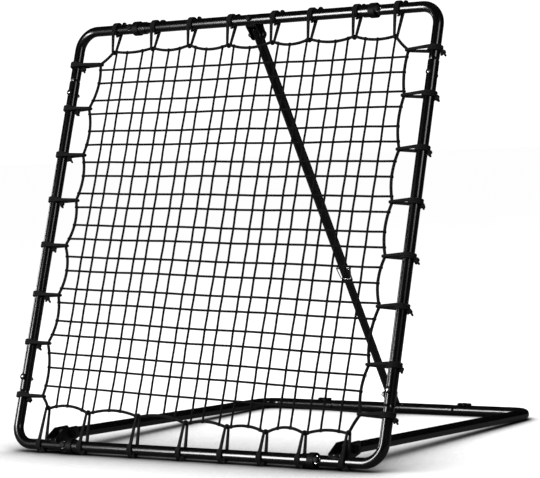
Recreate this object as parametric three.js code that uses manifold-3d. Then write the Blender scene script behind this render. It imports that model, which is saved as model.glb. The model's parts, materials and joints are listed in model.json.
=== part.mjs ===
// A pitch back rebounder: a net laced with elastic ties into a square tube frame.  The frame leans back on
// two hinge pins at the front of a U-shaped ground base, and a telescopic stay with a lock pin holds it.
// Millimetres, +Z up.  X runs along the rails, the ball comes from -Y, and the base lies towards +Y.
import * as THREE from "three";
import { mergeVertices } from "three/addons/utils/BufferGeometryUtils.js";
import Module from "manifold-3d";

const wasm = await Module();
wasm.setup();

// ---- Driving dimensions -----------------------------------------------------------------------------

const GAP = 0.3; // left between pieces that touch
const SIDES = 12; // facets round a frame tube

// Net frame, measured on tube centre lines
const FRAME_WIDTH = 1000;
const FRAME_HEIGHT = 1000;
const LEAN = THREE.MathUtils.degToRad(18); // back from the vertical
const TUBE_R = 12.5;
const CORNER_TUBE_R = 12;
const TUBE_WALL = 1.5;
const BEND_R = 45;
const BEND_STEPS = 5;
const RAIL_SEAM = 178.5; // from a corner point to the joint in a rail
const UPRIGHT_SEAM = 125; // from a corner point to the joint in an upright
const SPIGOT_LENGTH = 52;
const SWAGE_LENGTH = 6;
const SWAGE_LAP = 1; // of a corner's swage on its bent tube
const FRAME_BOLT_AT = 154; // from each corner point, on both legs

const COLLAR_LENGTH = 35;
const COLLAR_WALL = 3.95;
const COLLAR_LIP = 9; // the slimmer end of a collar
const COLLAR_LIP_STEP = 1.2;
const COLLAR_CHAMFER = 1;

// Ground base
const ARM_INSET = 112.5; // each arm's centre line inside the frame's corner points
const BASE_DEPTH = 849; // from the bottom rail's centre line to the rear rail's
const HINGE_BACK = 50; // hinge pin behind the bottom rail
const HINGE_UP = 20; // hinge pin above the bottom rail
const ARM_NOSE = 16; // arm tube ahead of the hinge pin
const REAR_SEAM = 207.5; // from a rear corner point to the joint in the rear rail
const REAR_SCREW_AT = 182.5; // from a rear corner point
const REAR_SCREW_TAIL = 1; // of the screw beyond its nut block
const REAR_NUT_LENGTH = 14;
const REAR_NUT_FLOOR = 3; // of the nut block, above the rail's centre line
const PLUG_FLANGE = 2.5;
const PLUG_DEPTH = 6;

// Brackets
const PLATE = 2.5;
const HINGE_CLEARANCE = 0.6; // arm to each cheek
const BRACKET_SADDLE = 3.5;
const HINGE_CHEEK_TOP = 13; // above the hinge pin
const HINGE_CHEEK_BACK = 24; // behind the hinge pin
const HINGE_CHEEK_DROP = 11; // below the hinge pin
const HINGE_CHEEK_SLOPE = 20; // top edge starts this far ahead of the pin
const STAY_PIVOT_BACK = 21.5; // stay pivot behind the top rail
const STAY_PIVOT_DROP = 33; // stay pivot below the top rail
const STAY_EYE_R = 13; // round end of the stay bracket's cheeks
const EYE_STEPS = 6;

// Stay
const STAY_OUTER_R = 11.4;
const STAY_INNER_R = 9.8;
const STAY_WALL = 1.2;
const STAY_SIDES = 12;
const STAY_OUTER_LENGTH = 676; // from the top pivot to the open end
const STAY_OVERLAP = 300; // of the inner tube in the outer one at rest
const STAY_TRAVEL = 165;
const STAY_TOP_END = 11; // tube above the top pivot
const FOOT_PIVOT_UP = 34; // foot pivot above the rear rail's centre line
const FOOT_PIVOT_AHEAD = 13; // foot pivot ahead of the rear rail's centre line
const FOOT_CLEARANCE = 2.6; // round the foot bolt, where the linkage is open
const FOOT_END = 11; // tube beyond the foot pivot
const FOOT_CHEEK_R = 11.5;
const END_RING_LENGTH = 6;
const PIN_FROM_END = 33;
const PIN_R = 3.5;
const PIN_CHAMFER = 0.8;
const PIN_HEAD_R = 5.5;
const PIN_HEAD_LENGTH = 7;
const PIN_TAIL = 9; // of the pin beyond the tube
const BAIL_WIRE_R = 1.2;
const BAIL_SIDES = 6;
const BAIL_BEND_R = 5;
const BAIL_BEND_STEPS = 3;
const BAIL_DROP = 27;

// Fasteners
const M6_R = 3;
const M8_R = 4;
const NUT_THREAD_TAIL = 3; // of a bolt beyond its nut
const BOLT_SIDES = 6;
// Heads and nuts, as multiples of the thread's radius
const BOLT_DOME = 1.45;
const BOLT_CROWN_R = 1.3;
const BOLT_FLANGE_R = 2.3;
const NUT_FLATS = 1.65; // half the width across them
const NUT_HEIGHT = 1.6;

// Net, border and ties
// Hand laced, so uneven: each tie's place along its side of 1 m, from the side's middle, and how far inside
// the tube it holds the border
const LACED_SIDE = 1000;
const LACED_END = 250; // the outer two ties at each end of a side lie within this of its corner
const BOTTOM_TIES = [
  [-420, 83], [-299, 76], [-154, 74], [-19, 64],
  [94, 60], [198, 53], [298, 55], [409, 60],
];
const RIGHT_TIES = [
  [-398, 68], [-292, 63], [-167, 56], [-58, 58],
  [61, 58], [178, 58], [299, 63], [402, 67],
];
const TOP_TIES = [
  [-395, 63], [-287, 57], [-167, 56], [-66, 56],
  [56, 56], [170, 50], [278, 51], [393, 54],
];
const LEFT_TIES = [
  [-416, 71], [-307, 57], [-192, 62], [-81, 63],
  [29, 53], [148, 56], [263, 48], [388, 58],
];
const TIE_CORD_R = 1.5;
const TIE_WRAP_STEPS = 7;
const TIE_SIDES = 6;
const BORDER_DIP = 0.09; // of the border rope between two ties, as a share of their distance
const BORDER_R = 2.5;
const BORDER_SIDES = 6;
const BORDER_STEPS = 3; // per scallop
const NET_STRINGS = 13; // each way
const NET_STRING = 3;
const NET_MARGIN = 122; // from a frame tube's centre line to the outermost string

// ---- Worked out from them ---------------------------------------------------------------------------

const HALF_W = FRAME_WIDTH / 2;
const ARM_X = HALF_W - ARM_INSET;
const REAR_SEAM_X = ARM_X - REAR_SEAM;
const REAR_SCREW_X = ARM_X - REAR_SCREW_AT;
const COLLAR_BORE_R = TUBE_R / Math.cos(Math.PI / SIDES) + GAP;
const COLLAR_R = COLLAR_BORE_R + COLLAR_WALL;
const BOTTOM_AXIS_Z = COLLAR_R; // the frame stands on its bottom collars
const tieCornerR = TIE_CORD_R / Math.cos(Math.PI / TIE_SIDES);
const tieReach = TUBE_R / Math.cos(Math.PI / SIDES) + GAP / 2 + tieCornerR;
const TIE_WRAP = 1.23 * Math.PI; // most that a tie turns round its tube
const TIE_PATH_R = tieReach / Math.cos(TIE_WRAP / 2 / TIE_WRAP_STEPS); // so that its chords clear the tube
const topAxis = new THREE.Vector2(0, FRAME_HEIGHT).rotateAround(new THREE.Vector2(), -LEAN);
topAxis.y += BOTTOM_AXIS_Z;
const hingePin = new THREE.Vector2(HINGE_BACK, BOTTOM_AXIS_Z + HINGE_UP);
const stayPivot = new THREE.Vector2(topAxis.x + STAY_PIVOT_BACK, topAxis.y - STAY_PIVOT_DROP);
const footPivot = new THREE.Vector2(BASE_DEPTH - FOOT_PIVOT_AHEAD, TUBE_R + FOOT_PIVOT_UP);
const stayLength = stayPivot.distanceTo(footPivot);
const stayTilt = Math.atan2(footPivot.x - stayPivot.x, stayPivot.y - footPivot.y); // from the vertical
const footReach = FOOT_END * Math.sin(stayTilt) + STAY_INNER_R * Math.cos(stayTilt);
const rearMost = Math.max(BASE_DEPTH + TUBE_R, footPivot.x + footReach);
const originY = (rearMost - COLLAR_R) / 2; // middle of the part's depth

// ---- Materials --------------------------------------------------------------------------------------

const finish = (color, roughness, metalness) => () =>
  new THREE.MeshStandardMaterial({ color, roughness, metalness });
const blackPowderCoat = finish(0x17181a, 0.38, 0.1);
const blackPlastic = finish(0x1b1b1d, 0.65, 0);
const blackPlate = finish(0x1a1a1c, 0.55, 0.1);
const zinc = finish(0xc4c6c8, 0.3, 0.9);
const springWire = finish(0xd0d2d4, 0.22, 1);
const netCord = finish(0x202022, 0.9, 0);
const elasticCord = finish(0x18181a, 0.85, 0);

// ---- Solids -----------------------------------------------------------------------------------------

// A three.js geometry as a manifold solid.
function solid(geometry) {
  const bare = geometry.clone();
  bare.deleteAttribute("normal");
  bare.deleteAttribute("uv");
  const merged = mergeVertices(bare, 1e-4);
  return new wasm.Manifold(
    new wasm.Mesh({
      numProp: 3,
      vertProperties: merged.attributes.position.array,
      triVerts: new Uint32Array(merged.index.array),
    }),
  );
}

// A manifold solid as a three.js geometry.
function geometryOf(shape) {
  const mesh = shape.getMesh();
  const corners = new Float32Array(mesh.numVert * 3);
  for (let i = 0; i < mesh.numVert; i++) {
    corners.set(mesh.vertProperties.subarray(i * mesh.numProp, i * mesh.numProp + 3), i * 3);
  }
  const geometry = new THREE.BufferGeometry();
  geometry.setAttribute("position", new THREE.BufferAttribute(corners, 3));
  geometry.setIndex(new THREE.BufferAttribute(mesh.triVerts, 1));
  return geometry;
}

const join = (first, ...rest) => rest.reduce((whole, next) => whole.add(solid(next)), solid(first));
const cut = (body, ...tools) => tools.reduce((left, tool) => left.subtract(solid(tool)), body);

// A body turned about +Y: profile pairs are [across-flats radius, height], closed on the axis or on itself.
function turned(profile, sides = SIDES) {
  const flat = 1 / Math.cos(Math.PI / sides);
  const points = profile.map(([r, h]) => new THREE.Vector2(r * flat, h));
  return new THREE.LatheGeometry(points, sides, Math.PI / sides);
}

// A turned tube wall through stations [outside radius, height], wall thick, open at both ends.
function turnedTube(stations, wall, sides = SIDES) {
  const inside = stations.map(([r, h]) => [r - wall, h]).reverse();
  return turned([...stations, ...inside, stations[0]], sides);
}

const rod = (r, from, to, sides = BOLT_SIDES) => turned([[0, from], [r, from], [r, to], [0, to]], sides);
const lieAlongX = (geometry) => geometry.rotateZ(-Math.PI / 2);
const lieAlongZ = (geometry) => geometry.rotateX(Math.PI / 2);
const clearHole = (r, sides = BOLT_SIDES) => r / Math.cos(Math.PI / sides) + GAP;

// A closed outline of [x, y] points.
const outline = (points) => new THREE.Shape(points.map(([x, y]) => new THREE.Vector2(x, y)));

// A regular polygon outline with a flat square to each axis, r across flats.
function ringOutline(r, sides, hole = 0) {
  const corner = (radius, k) => {
    const turn = ((k + 0.5) * 2 * Math.PI) / sides;
    const reach = radius / Math.cos(Math.PI / sides);
    return new THREE.Vector2(Math.cos(turn), Math.sin(turn)).multiplyScalar(reach);
  };
  const ring = (radius) => Array.from({ length: sides }, (_, k) => corner(radius, k));
  const shape = new THREE.Shape(ring(r));
  if (hole) shape.holes.push(new THREE.Path(ring(hole)));
  return shape;
}

// A route given by stations, each a point with its tangent, which an extrusion follows station by station.
class Route extends THREE.Curve {
  constructor(stations) {
    super();
    this.stations = stations;
  }

  get steps() {
    return this.stations.length - 1;
  }

  at(u) {
    return this.stations[Math.round(u * this.steps)];
  }

  getPointAt(u) {
    return this.at(u).point.clone();
  }

  getTangentAt(u) {
    return this.at(u).tangent.clone();
  }
}

// Straight legs through the given corners, with each bend an arc of one radius.
function bentRoute(corners, radius, steps = BEND_STEPS) {
  const stations = [];
  const first = corners[1].clone().sub(corners[0]).normalize();
  stations.push({ point: corners[0], tangent: first });
  for (let i = 1; i < corners.length - 1; i++) {
    const into = corners[i].clone().sub(corners[i - 1]).normalize();
    const out = corners[i + 1].clone().sub(corners[i]).normalize();
    const turn = into.angleTo(out);
    const setback = radius * Math.tan(turn / 2);
    const start = corners[i].clone().addScaledVector(into, -setback);
    const across = out.clone().addScaledVector(into, -into.dot(out)).normalize();
    for (let k = 0; k <= steps; k++) {
      const a = (turn * k) / steps;
      const point = start
        .clone()
        .addScaledVector(into, radius * Math.sin(a))
        .addScaledVector(across, radius * (1 - Math.cos(a)));
      const tangent = into.clone().multiplyScalar(Math.cos(a)).addScaledVector(across, Math.sin(a));
      stations.push({ point, tangent });
    }
  }
  const last = corners[corners.length - 1];
  const end = last.clone().sub(corners[corners.length - 2]).normalize();
  stations.push({ point: last, tangent: end });
  return new Route(stations);
}

const sweep = (shape, route) =>
  new THREE.ExtrudeGeometry(shape, { steps: route.steps, extrudePath: route, bevelEnabled: false });

// A flat plate: an outline in the (Y, Z) plane given thickness along X, centred at x.
function plateAcrossX(shape, thickness, x) {
  return new THREE.ExtrudeGeometry(shape, { depth: thickness, bevelEnabled: false })
    .rotateX(Math.PI / 2)
    .rotateZ(Math.PI / 2)
    .translate(x - thickness / 2, 0, 0);
}

function piece(name, geometry, material) {
  const mesh = new THREE.Mesh(geometry.index ? geometry.toNonIndexed() : geometry, material());
  mesh.geometry.computeVertexNormals();
  mesh.name = name;
  return mesh;
}

const both = [
  { word: "left", side: -1 },
  { word: "right", side: 1 },
];
const levels = [
  { level: "bottom", up: false },
  { level: "top", up: true },
];

// ---- Fasteners --------------------------------------------------------------------------------------

const nutHeight = (radius) => radius * NUT_HEIGHT;

// A flanged, domed bolt along +Y: its seat at y = 0, its head below, the shank reaching up to its length.
function bolt(radius, length) {
  const profile = [
    [0, -radius * BOLT_DOME],
    [radius * BOLT_CROWN_R, -radius],
    [radius * BOLT_FLANGE_R, 0],
    [radius, 0],
    [radius, length],
    [0, length],
  ];
  return turned(profile, BOLT_SIDES);
}

// A hexagonal nut along +Y with its seat at y = 0.
function nut(radius) {
  const shape = ringOutline(radius * NUT_FLATS, BOLT_SIDES, clearHole(radius));
  const depth = nutHeight(radius);
  return new THREE.ExtrudeGeometry(shape, { depth, bevelEnabled: false }).rotateX(-Math.PI / 2);
}

// A bolt and its nut along +Y through the origin, seated this far before and behind it.
function boltAndNut(name, radius, before, behind) {
  const length = before + behind + 2 * GAP + nutHeight(radius) + NUT_THREAD_TAIL;
  const pair = new THREE.Group();
  pair.add(piece(name + "_bolt", bolt(radius, length).translate(0, -before - GAP, 0), zinc));
  pair.add(piece(name + "_nut", nut(radius).translate(0, behind + GAP, 0), zinc));
  return pair;
}

// ---- Net frame --------------------------------------------------------------------------------------
// Its own axes: x along the rails, y out of its back, z up along the uprights from the bottom rail.

const SPIGOT_IN_CORNER_R = CORNER_TUBE_R - TUBE_WALL - GAP;
const SPIGOT_IN_TUBE_R = TUBE_R - TUBE_WALL - GAP;

const boltHole = (x, z) => rod(clearHole(M6_R), -2 * TUBE_R, 2 * TUBE_R).translate(x, 0, z);

// The top right corner, with its corner point at the origin; the others are its mirror images.
function cornerGeometry() {
  const swage = -(UPRIGHT_SEAM - SWAGE_LENGTH);
  const railEnd = -(RAIL_SEAM - GAP / 2);
  const section = ringOutline(CORNER_TUBE_R, SIDES, CORNER_TUBE_R - TUBE_WALL);
  const route = [new THREE.Vector3(railEnd, 0, 0), new THREE.Vector3(), new THREE.Vector3(0, 0, swage)];
  const stations = [
    [SPIGOT_IN_TUBE_R, swage - SPIGOT_LENGTH],
    [SPIGOT_IN_TUBE_R, swage - SWAGE_LENGTH + GAP],
    [CORNER_TUBE_R, swage],
    [CORNER_TUBE_R, swage + SWAGE_LAP],
  ];
  const whole = join(sweep(section, bentRoute(route, BEND_R)), lieAlongZ(turnedTube(stations, TUBE_WALL)));
  return geometryOf(cut(whole, boltHole(-FRAME_BOLT_AT, 0), boltHole(0, -FRAME_BOLT_AT)));
}

function corners() {
  const group = new THREE.Group();
  for (const { word, side } of both) {
    for (const { level, up } of levels) {
      const mesh = piece("corner_" + level + "_" + word, cornerGeometry(), blackPowderCoat);
      mesh.position.set(side * HALF_W, 0, up ? FRAME_HEIGHT : 0);
      mesh.scale.set(side, 1, up ? 1 : -1);
      group.add(mesh);
    }
  }
  return group;
}

// A straight tube with both ends swaged to enter its neighbours; it lies along X about x = 0.
function swagedRail(seam, spigotR, holes) {
  const shoulder = seam - GAP / 2 - SWAGE_LENGTH;
  const half = [
    [TUBE_R, shoulder],
    [spigotR, seam - GAP / 2],
    [spigotR, seam + SPIGOT_LENGTH],
  ];
  const stations = [...half.map(([r, x]) => [r, -x]).reverse(), ...half];
  return geometryOf(cut(solid(lieAlongX(turnedTube(stations, TUBE_WALL))), ...holes));
}

function rail(name, extraHoles = []) {
  const boltX = HALF_W - FRAME_BOLT_AT;
  const holes = [boltHole(-boltX, 0), boltHole(boltX, 0), ...extraHoles];
  return piece(name, swagedRail(HALF_W - RAIL_SEAM, SPIGOT_IN_CORNER_R, holes), blackPowderCoat);
}

function upright(name, x) {
  const from = UPRIGHT_SEAM;
  const to = FRAME_HEIGHT - UPRIGHT_SEAM;
  const tube = lieAlongZ(turnedTube([[TUBE_R, from], [TUBE_R, to]], TUBE_WALL));
  const holes = [boltHole(0, FRAME_BOLT_AT), boltHole(0, FRAME_HEIGHT - FRAME_BOLT_AT)];
  const mesh = piece(name, geometryOf(cut(solid(tube), ...holes)), blackPowderCoat);
  mesh.position.x = x;
  return mesh;
}

// A moulded sleeve over a rail joint: a full body and a slimmer lip towards the middle of the rail.
function collar(name, side, z) {
  const half = COLLAR_LENGTH / 2;
  const lip = half - COLLAR_LIP;
  const profile = [
    [COLLAR_BORE_R, -half],
    [COLLAR_R - COLLAR_CHAMFER, -half],
    [COLLAR_R, -half + COLLAR_CHAMFER],
    [COLLAR_R, lip],
    [COLLAR_R - COLLAR_LIP_STEP, lip + COLLAR_CHAMFER],
    [COLLAR_R - COLLAR_LIP_STEP, half],
    [COLLAR_BORE_R, half],
    [COLLAR_BORE_R, -half],
  ];
  const geometry = lieAlongX(turned(profile)).rotateX(LEAN);
  const mesh = piece(name, geometry, blackPlastic);
  mesh.position.set(side * (HALF_W - RAIL_SEAM), 0, z);
  mesh.scale.x = -side;
  return mesh;
}

function frameBolts() {
  const group = new THREE.Group();
  for (const { word, side } of both) {
    for (const { level, up } of levels) {
      const z = up ? FRAME_HEIGHT : 0;
      const inward = up ? -FRAME_BOLT_AT : FRAME_BOLT_AT;
      const onRail = boltAndNut("rail_" + level + "_" + word, M6_R, CORNER_TUBE_R, CORNER_TUBE_R);
      onRail.position.set(side * (HALF_W - FRAME_BOLT_AT), 0, z);
      const onUpright = boltAndNut("upright_" + level + "_" + word, M6_R, TUBE_R, TUBE_R);
      onUpright.position.set(side * HALF_W, 0, z + inward);
      group.add(onRail, onUpright);
    }
  }
  return group;
}

// ---- Net, border and ties ---------------------------------------------------------------------------

// Where the ties cross one side of the frame, from its middle; the bottom ones clear the hinge brackets.
// A tie's place on a side of another length: the outer ones keep their distance from the corner, and the
// inner ones spread over what is left between them.
function tiePlace(s, length) {
  const outer = LACED_SIDE / 2 - LACED_END;
  const longer = (length - LACED_SIDE) / 2;
  return Math.abs(s) > outer ? s + Math.sign(s) * longer : (s * (outer + longer)) / outer;
}

const laced = (ties, length) => ties.map(([s, inset]) => [tiePlace(s, length), inset]);

// The four sides in order round the frame; each maps (along, inset) to x and z.
const frameSides = [
  { ties: laced(BOTTOM_TIES, FRAME_WIDTH), place: (s, inset) => [s, inset] },
  {
    ties: laced(RIGHT_TIES, FRAME_HEIGHT),
    place: (s, inset) => [HALF_W - inset, FRAME_HEIGHT / 2 + s],
  },
  { ties: laced(TOP_TIES, FRAME_WIDTH), place: (s, inset) => [-s, FRAME_HEIGHT - inset] },
  {
    ties: laced(LEFT_TIES, FRAME_HEIGHT),
    place: (s, inset) => [inset - HALF_W, FRAME_HEIGHT / 2 - s],
  },
];

// The border's line: from tie to tie it dips towards the net in a parabola.
function borderLine() {
  const nodes = frameSides.flatMap(({ ties, place }) =>
    ties.map(([s, inset]) => new THREE.Vector2(...place(s, inset))),
  );
  return nodes.flatMap((from, i) => {
    const to = nodes[(i + 1) % nodes.length];
    const inward = leftOf(from, to);
    const dip = BORDER_DIP * from.distanceTo(to);
    return Array.from({ length: BORDER_STEPS }, (_, k) => {
      const t = k / BORDER_STEPS;
      return from.clone().lerp(to, t).addScaledVector(inward, dip * 4 * t * (1 - t));
    });
  });
}

// The border's line runs anticlockwise, so that the net lies on its left.
const leftOf = (from, to) => new THREE.Vector2(from.y - to.y, to.x - from.x).normalize();

// The same closed line, this far inside it.
function insideOf(line, distance) {
  return line.map((point, i) => {
    const before = line[(i + line.length - 1) % line.length];
    const after = line[(i + 1) % line.length];
    const inward = leftOf(before, point).add(leftOf(point, after));
    return point.clone().addScaledVector(inward, (2 * distance) / inward.lengthSq());
  });
}

// A route through points, each tangent halfway between its neighbouring legs.
function routeThrough(points) {
  const stations = points.map((point, i) => {
    const before = points[Math.max(i - 1, 0)];
    const after = points[Math.min(i + 1, points.length - 1)];
    return { point, tangent: after.clone().sub(before).normalize() };
  });
  return new Route(stations);
}

// The border rope, closed on itself: two halves whose ends cross where a tie draws the rope outwards.
function borderRope() {
  const line = borderLine().map((p) => new THREE.Vector3(p.x, 0, p.y));
  const half = line.length / 2;
  const halves = [0, half].map((start) => {
    const points = Array.from({ length: half + 1 }, (_, k) => line[(start + k) % line.length].clone());
    const lengthen = (end, next) => end.addScaledVector(end.clone().sub(next).normalize(), BORDER_R);
    lengthen(points[0], points[1]);
    lengthen(points[half], points[half - 1]);
    return sweep(ringOutline(BORDER_R, BORDER_SIDES), routeThrough(points));
  });
  return join(...halves);
}

// One elastic tie: from the border rope straight to the tube, round it and back.
function tie(x, z, inX, inZ, inset) {
  const tangentAngle = Math.acos(TIE_PATH_R / inset);
  const wrap = 2 * Math.PI - 2 * tangentAngle;
  const at = (inward, out) => new THREE.Vector3(x + inX * inward, out, z + inZ * inward);
  const onTube = Array.from({ length: TIE_WRAP_STEPS + 1 }, (_, k) => {
    const turn = tangentAngle + (k / TIE_WRAP_STEPS) * wrap;
    return at(TIE_PATH_R * Math.cos(turn), TIE_PATH_R * Math.sin(turn));
  });
  const apart = tieCornerR + GAP / 2; // keeps the two legs clear of each other at the rope
  const points = [at(inset, apart), ...onTube, at(inset, -apart)];
  return sweep(ringOutline(TIE_CORD_R, TIE_SIDES), routeThrough(points));
}

function borderAndTies() {
  const loops = frameSides.flatMap(({ ties, place }) =>
    ties.map(([s, inset]) => {
      const [x, z] = place(s, 0);
      const [x1, z1] = place(s, 1);
      return tie(x, z, x1 - x, z1 - z, inset);
    }),
  );
  const whole = loops.reduce((rope, loop) => rope.add(solid(loop)), borderRope());
  return piece("net_border", geometryOf(whole), elasticCord);
}

// Square mesh: strings both ways, ending just inside the border rope.
function net() {
  const middle = FRAME_HEIGHT / 2;
  const shares = Array.from({ length: NET_STRINGS }, (_, i) => i / (NET_STRINGS - 1) - 0.5);
  const upward = shares.map((share) => {
    const string = new THREE.BoxGeometry(NET_STRING, NET_STRING, FRAME_HEIGHT);
    return string.translate(share * (FRAME_WIDTH - 2 * NET_MARGIN), 0, middle);
  });
  const across = shares.map((share) => {
    const string = new THREE.BoxGeometry(FRAME_WIDTH, NET_STRING, NET_STRING);
    return string.translate(0, 0, middle + share * (FRAME_HEIGHT - 2 * NET_MARGIN));
  });
  const edge = new THREE.Shape(insideOf(borderLine(), clearHole(BORDER_R, BORDER_SIDES)));
  const inside = new THREE.ExtrudeGeometry(edge, { depth: 2 * NET_STRING, bevelEnabled: false })
    .rotateX(Math.PI / 2)
    .translate(0, NET_STRING, 0);
  return piece("net", geometryOf(join(...upward, ...across).intersect(solid(inside))), netCord);
}

// ---- Brackets ---------------------------------------------------------------------------------------

// A U bracket along x: two cheeks of one (y, z) outline, joined by a saddle that hugs the tube at the
// origin.
function saddleBracket(shape, halfInside, tubeR, tubeTurn, pivot) {
  const width = 2 * (halfInside + PLATE);
  const alongTube = (r) => lieAlongX(rod(r, -width, width, SIDES)).rotateX(tubeTurn);
  const bore = clearHole(tubeR, SIDES);
  const saddle = solid(plateAcrossX(shape, width, 0)).intersect(solid(alongTube(bore + BRACKET_SADDLE)));
  const cheek = (side) => solid(plateAcrossX(shape, PLATE, side * (halfInside + PLATE / 2)));
  const eye = lieAlongX(rod(clearHole(M8_R), -width, width)).translate(0, pivot.x, pivot.y);
  return cut(saddle.add(cheek(-1)).add(cheek(1)), alongTube(bore), eye);
}

function hingeBracket(name, x) {
  const top = HINGE_UP + HINGE_CHEEK_TOP;
  const back = HINGE_BACK + HINGE_CHEEK_BACK;
  const shape = outline([
    [0, 0],
    [0, CORNER_TUBE_R + BRACKET_SADDLE],
    [HINGE_BACK - HINGE_CHEEK_SLOPE, top],
    [back - PLATE, top],
    [back, top - PLATE],
    [back, HINGE_UP - HINGE_CHEEK_DROP],
    [CORNER_TUBE_R, -CORNER_TUBE_R / 2],
  ]);
  const pivot = new THREE.Vector2(HINGE_BACK, HINGE_UP);
  const whole = saddleBracket(shape, TUBE_R + HINGE_CLEARANCE, CORNER_TUBE_R, -LEAN, pivot);
  const mesh = piece(name, geometryOf(whole), blackPlate);
  mesh.position.set(x, 0, BOTTOM_AXIS_Z);
  return mesh;
}

// A cheek's outline: straight flanks from two points near the tube to a half circle round its pivot.
function eyeOutline(pivot, r, left, right) {
  const away = Math.sign(pivot.y);
  const arc = Array.from({ length: EYE_STEPS + 1 }, (_, k) => {
    const turn = Math.PI * (1 - k / EYE_STEPS);
    return [pivot.x + r * Math.cos(turn), pivot.y + away * r * Math.sin(turn)];
  });
  return outline([left, ...arc, right]);
}

const STAY_SEAT_R = clearHole(TUBE_R, SIDES) + BRACKET_SADDLE;

function stayBracket() {
  const pivot = new THREE.Vector2(STAY_PIVOT_BACK, -STAY_PIVOT_DROP);
  const shape = eyeOutline(pivot, STAY_EYE_R, [-TUBE_R / 2, -TUBE_R / 2], [STAY_SEAT_R, TUBE_R / 3]);
  const whole = saddleBracket(shape, STAY_OUTER_R + HINGE_CLEARANCE, TUBE_R, -LEAN, pivot);
  const drilled = cut(whole, rod(clearHole(M6_R), 0, 2 * STAY_SEAT_R).rotateX(-LEAN));
  const mesh = piece("stay_bracket", geometryOf(drilled), blackPlate);
  mesh.position.set(0, topAxis.x, topAxis.y);
  return mesh;
}

function stayFootBracket() {
  const pivot = new THREE.Vector2(-FOOT_PIVOT_AHEAD, FOOT_PIVOT_UP);
  const half = TUBE_R - GAP;
  const shape = eyeOutline(pivot, FOOT_CHEEK_R, [-half, 0], [half, 0]);
  const whole = saddleBracket(shape, STAY_INNER_R + HINGE_CLEARANCE, TUBE_R, 0, pivot);
  const mesh = piece("stay_foot_bracket", geometryOf(whole), blackPlate);
  mesh.position.set(0, BASE_DEPTH, TUBE_R);
  return mesh;
}

// A pivot bolt along X with its head on the +X side.
function pivotBolt(name, half, x, place) {
  const pair = boltAndNut(name, M8_R, half, half);
  pair.rotation.z = Math.PI / 2;
  pair.position.set(x, place.x, place.y);
  return pair;
}

// ---- Ground base ------------------------------------------------------------------------------------

const armSlope = Math.atan2(hingePin.y - TUBE_R, BASE_DEPTH - hingePin.x);
const armNose = new THREE.Vector2(
  hingePin.x - ARM_NOSE * Math.cos(armSlope),
  hingePin.y + ARM_NOSE * Math.sin(armSlope),
);

// From a tube's centre up through its top wall.
const rearScrewHole = (x) => lieAlongZ(rod(clearHole(M6_R), 0, 2 * TUBE_R)).translate(x, 0, 0);

function baseSide(name, side) {
  const route = [
    new THREE.Vector3(side * (REAR_SEAM_X + GAP / 2), BASE_DEPTH, TUBE_R),
    new THREE.Vector3(side * ARM_X, BASE_DEPTH, TUBE_R),
    new THREE.Vector3(side * ARM_X, armNose.x, armNose.y),
  ];
  const tube = sweep(ringOutline(TUBE_R, SIDES, TUBE_R - TUBE_WALL), bentRoute(route, BEND_R));
  const pinHole = lieAlongX(rod(clearHole(M8_R), -2 * TUBE_R, 2 * TUBE_R));
  pinHole.translate(side * ARM_X, hingePin.x, hingePin.y);
  const screwHole = rearScrewHole(side * REAR_SCREW_X).translate(0, BASE_DEPTH, TUBE_R);
  return piece(name, geometryOf(cut(solid(tube), pinHole, screwHole)), blackPowderCoat);
}

function armPlug(name, side) {
  const bore = TUBE_R - TUBE_WALL - GAP;
  const profile = [
    [0, -PLUG_FLANGE - GAP],
    [TUBE_R - PLUG_FLANGE / 2, -PLUG_FLANGE - GAP],
    [TUBE_R, -GAP],
    [bore, -GAP],
    [bore, PLUG_DEPTH],
    [0, PLUG_DEPTH],
  ];
  const mesh = piece(name, turned(profile), blackPlastic);
  mesh.rotation.x = -armSlope;
  mesh.position.set(side * ARM_X, armNose.x, armNose.y);
  return mesh;
}

function rearRail() {
  const holes = both.map(({ side }) => rearScrewHole(side * REAR_SCREW_X));
  const mesh = piece("rear_rail", swagedRail(REAR_SEAM_X, SPIGOT_IN_TUBE_R, holes), blackPowderCoat);
  mesh.position.set(0, BASE_DEPTH, TUBE_R);
  return mesh;
}

// The screw from above and, inside the spigot, the nut block it turns into.
function rearScrew(word, side) {
  const reach = TUBE_R - REAR_NUT_FLOOR + REAR_SCREW_TAIL;
  const screw = piece("rear_" + word + "_screw", bolt(M6_R, reach), zinc);
  screw.rotation.x = -Math.PI / 2;
  screw.position.z = TUBE_R + GAP;
  const boreR = SPIGOT_IN_TUBE_R - TUBE_WALL - GAP;
  const core = lieAlongX(rod(boreR, -REAR_NUT_LENGTH / 2, REAR_NUT_LENGTH / 2, SIDES));
  const upper = new THREE.BoxGeometry(2 * REAR_NUT_LENGTH, 2 * TUBE_R, 2 * TUBE_R);
  upper.translate(0, 0, TUBE_R + REAR_NUT_FLOOR);
  const block = cut(solid(core).intersect(solid(upper)), rearScrewHole(0));
  const group = new THREE.Group();
  group.add(screw, piece("rear_" + word + "_nut", geometryOf(block), zinc));
  group.position.set(side * REAR_SCREW_X, BASE_DEPTH, TUBE_R);
  return group;
}

// ---- Stay -------------------------------------------------------------------------------------------
// Its own axes: the origin at the top pivot, z up along its tubes, x as the frame's.

const pinZ = -(STAY_OUTER_LENGTH - PIN_FROM_END);

const stayHole = (r, z) =>
  lieAlongX(rod(clearHole(r), -2 * STAY_OUTER_R, 2 * STAY_OUTER_R)).translate(0, 0, z);

function stayOuter() {
  const stations = [[STAY_OUTER_R, -STAY_OUTER_LENGTH], [STAY_OUTER_R, STAY_TOP_END]];
  const tube = lieAlongZ(turnedTube(stations, STAY_WALL, STAY_SIDES));
  const drilled = cut(solid(tube), stayHole(M8_R, 0), stayHole(PIN_R, pinZ));
  return piece("stay_outer", geometryOf(drilled), blackPowderCoat);
}

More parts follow.
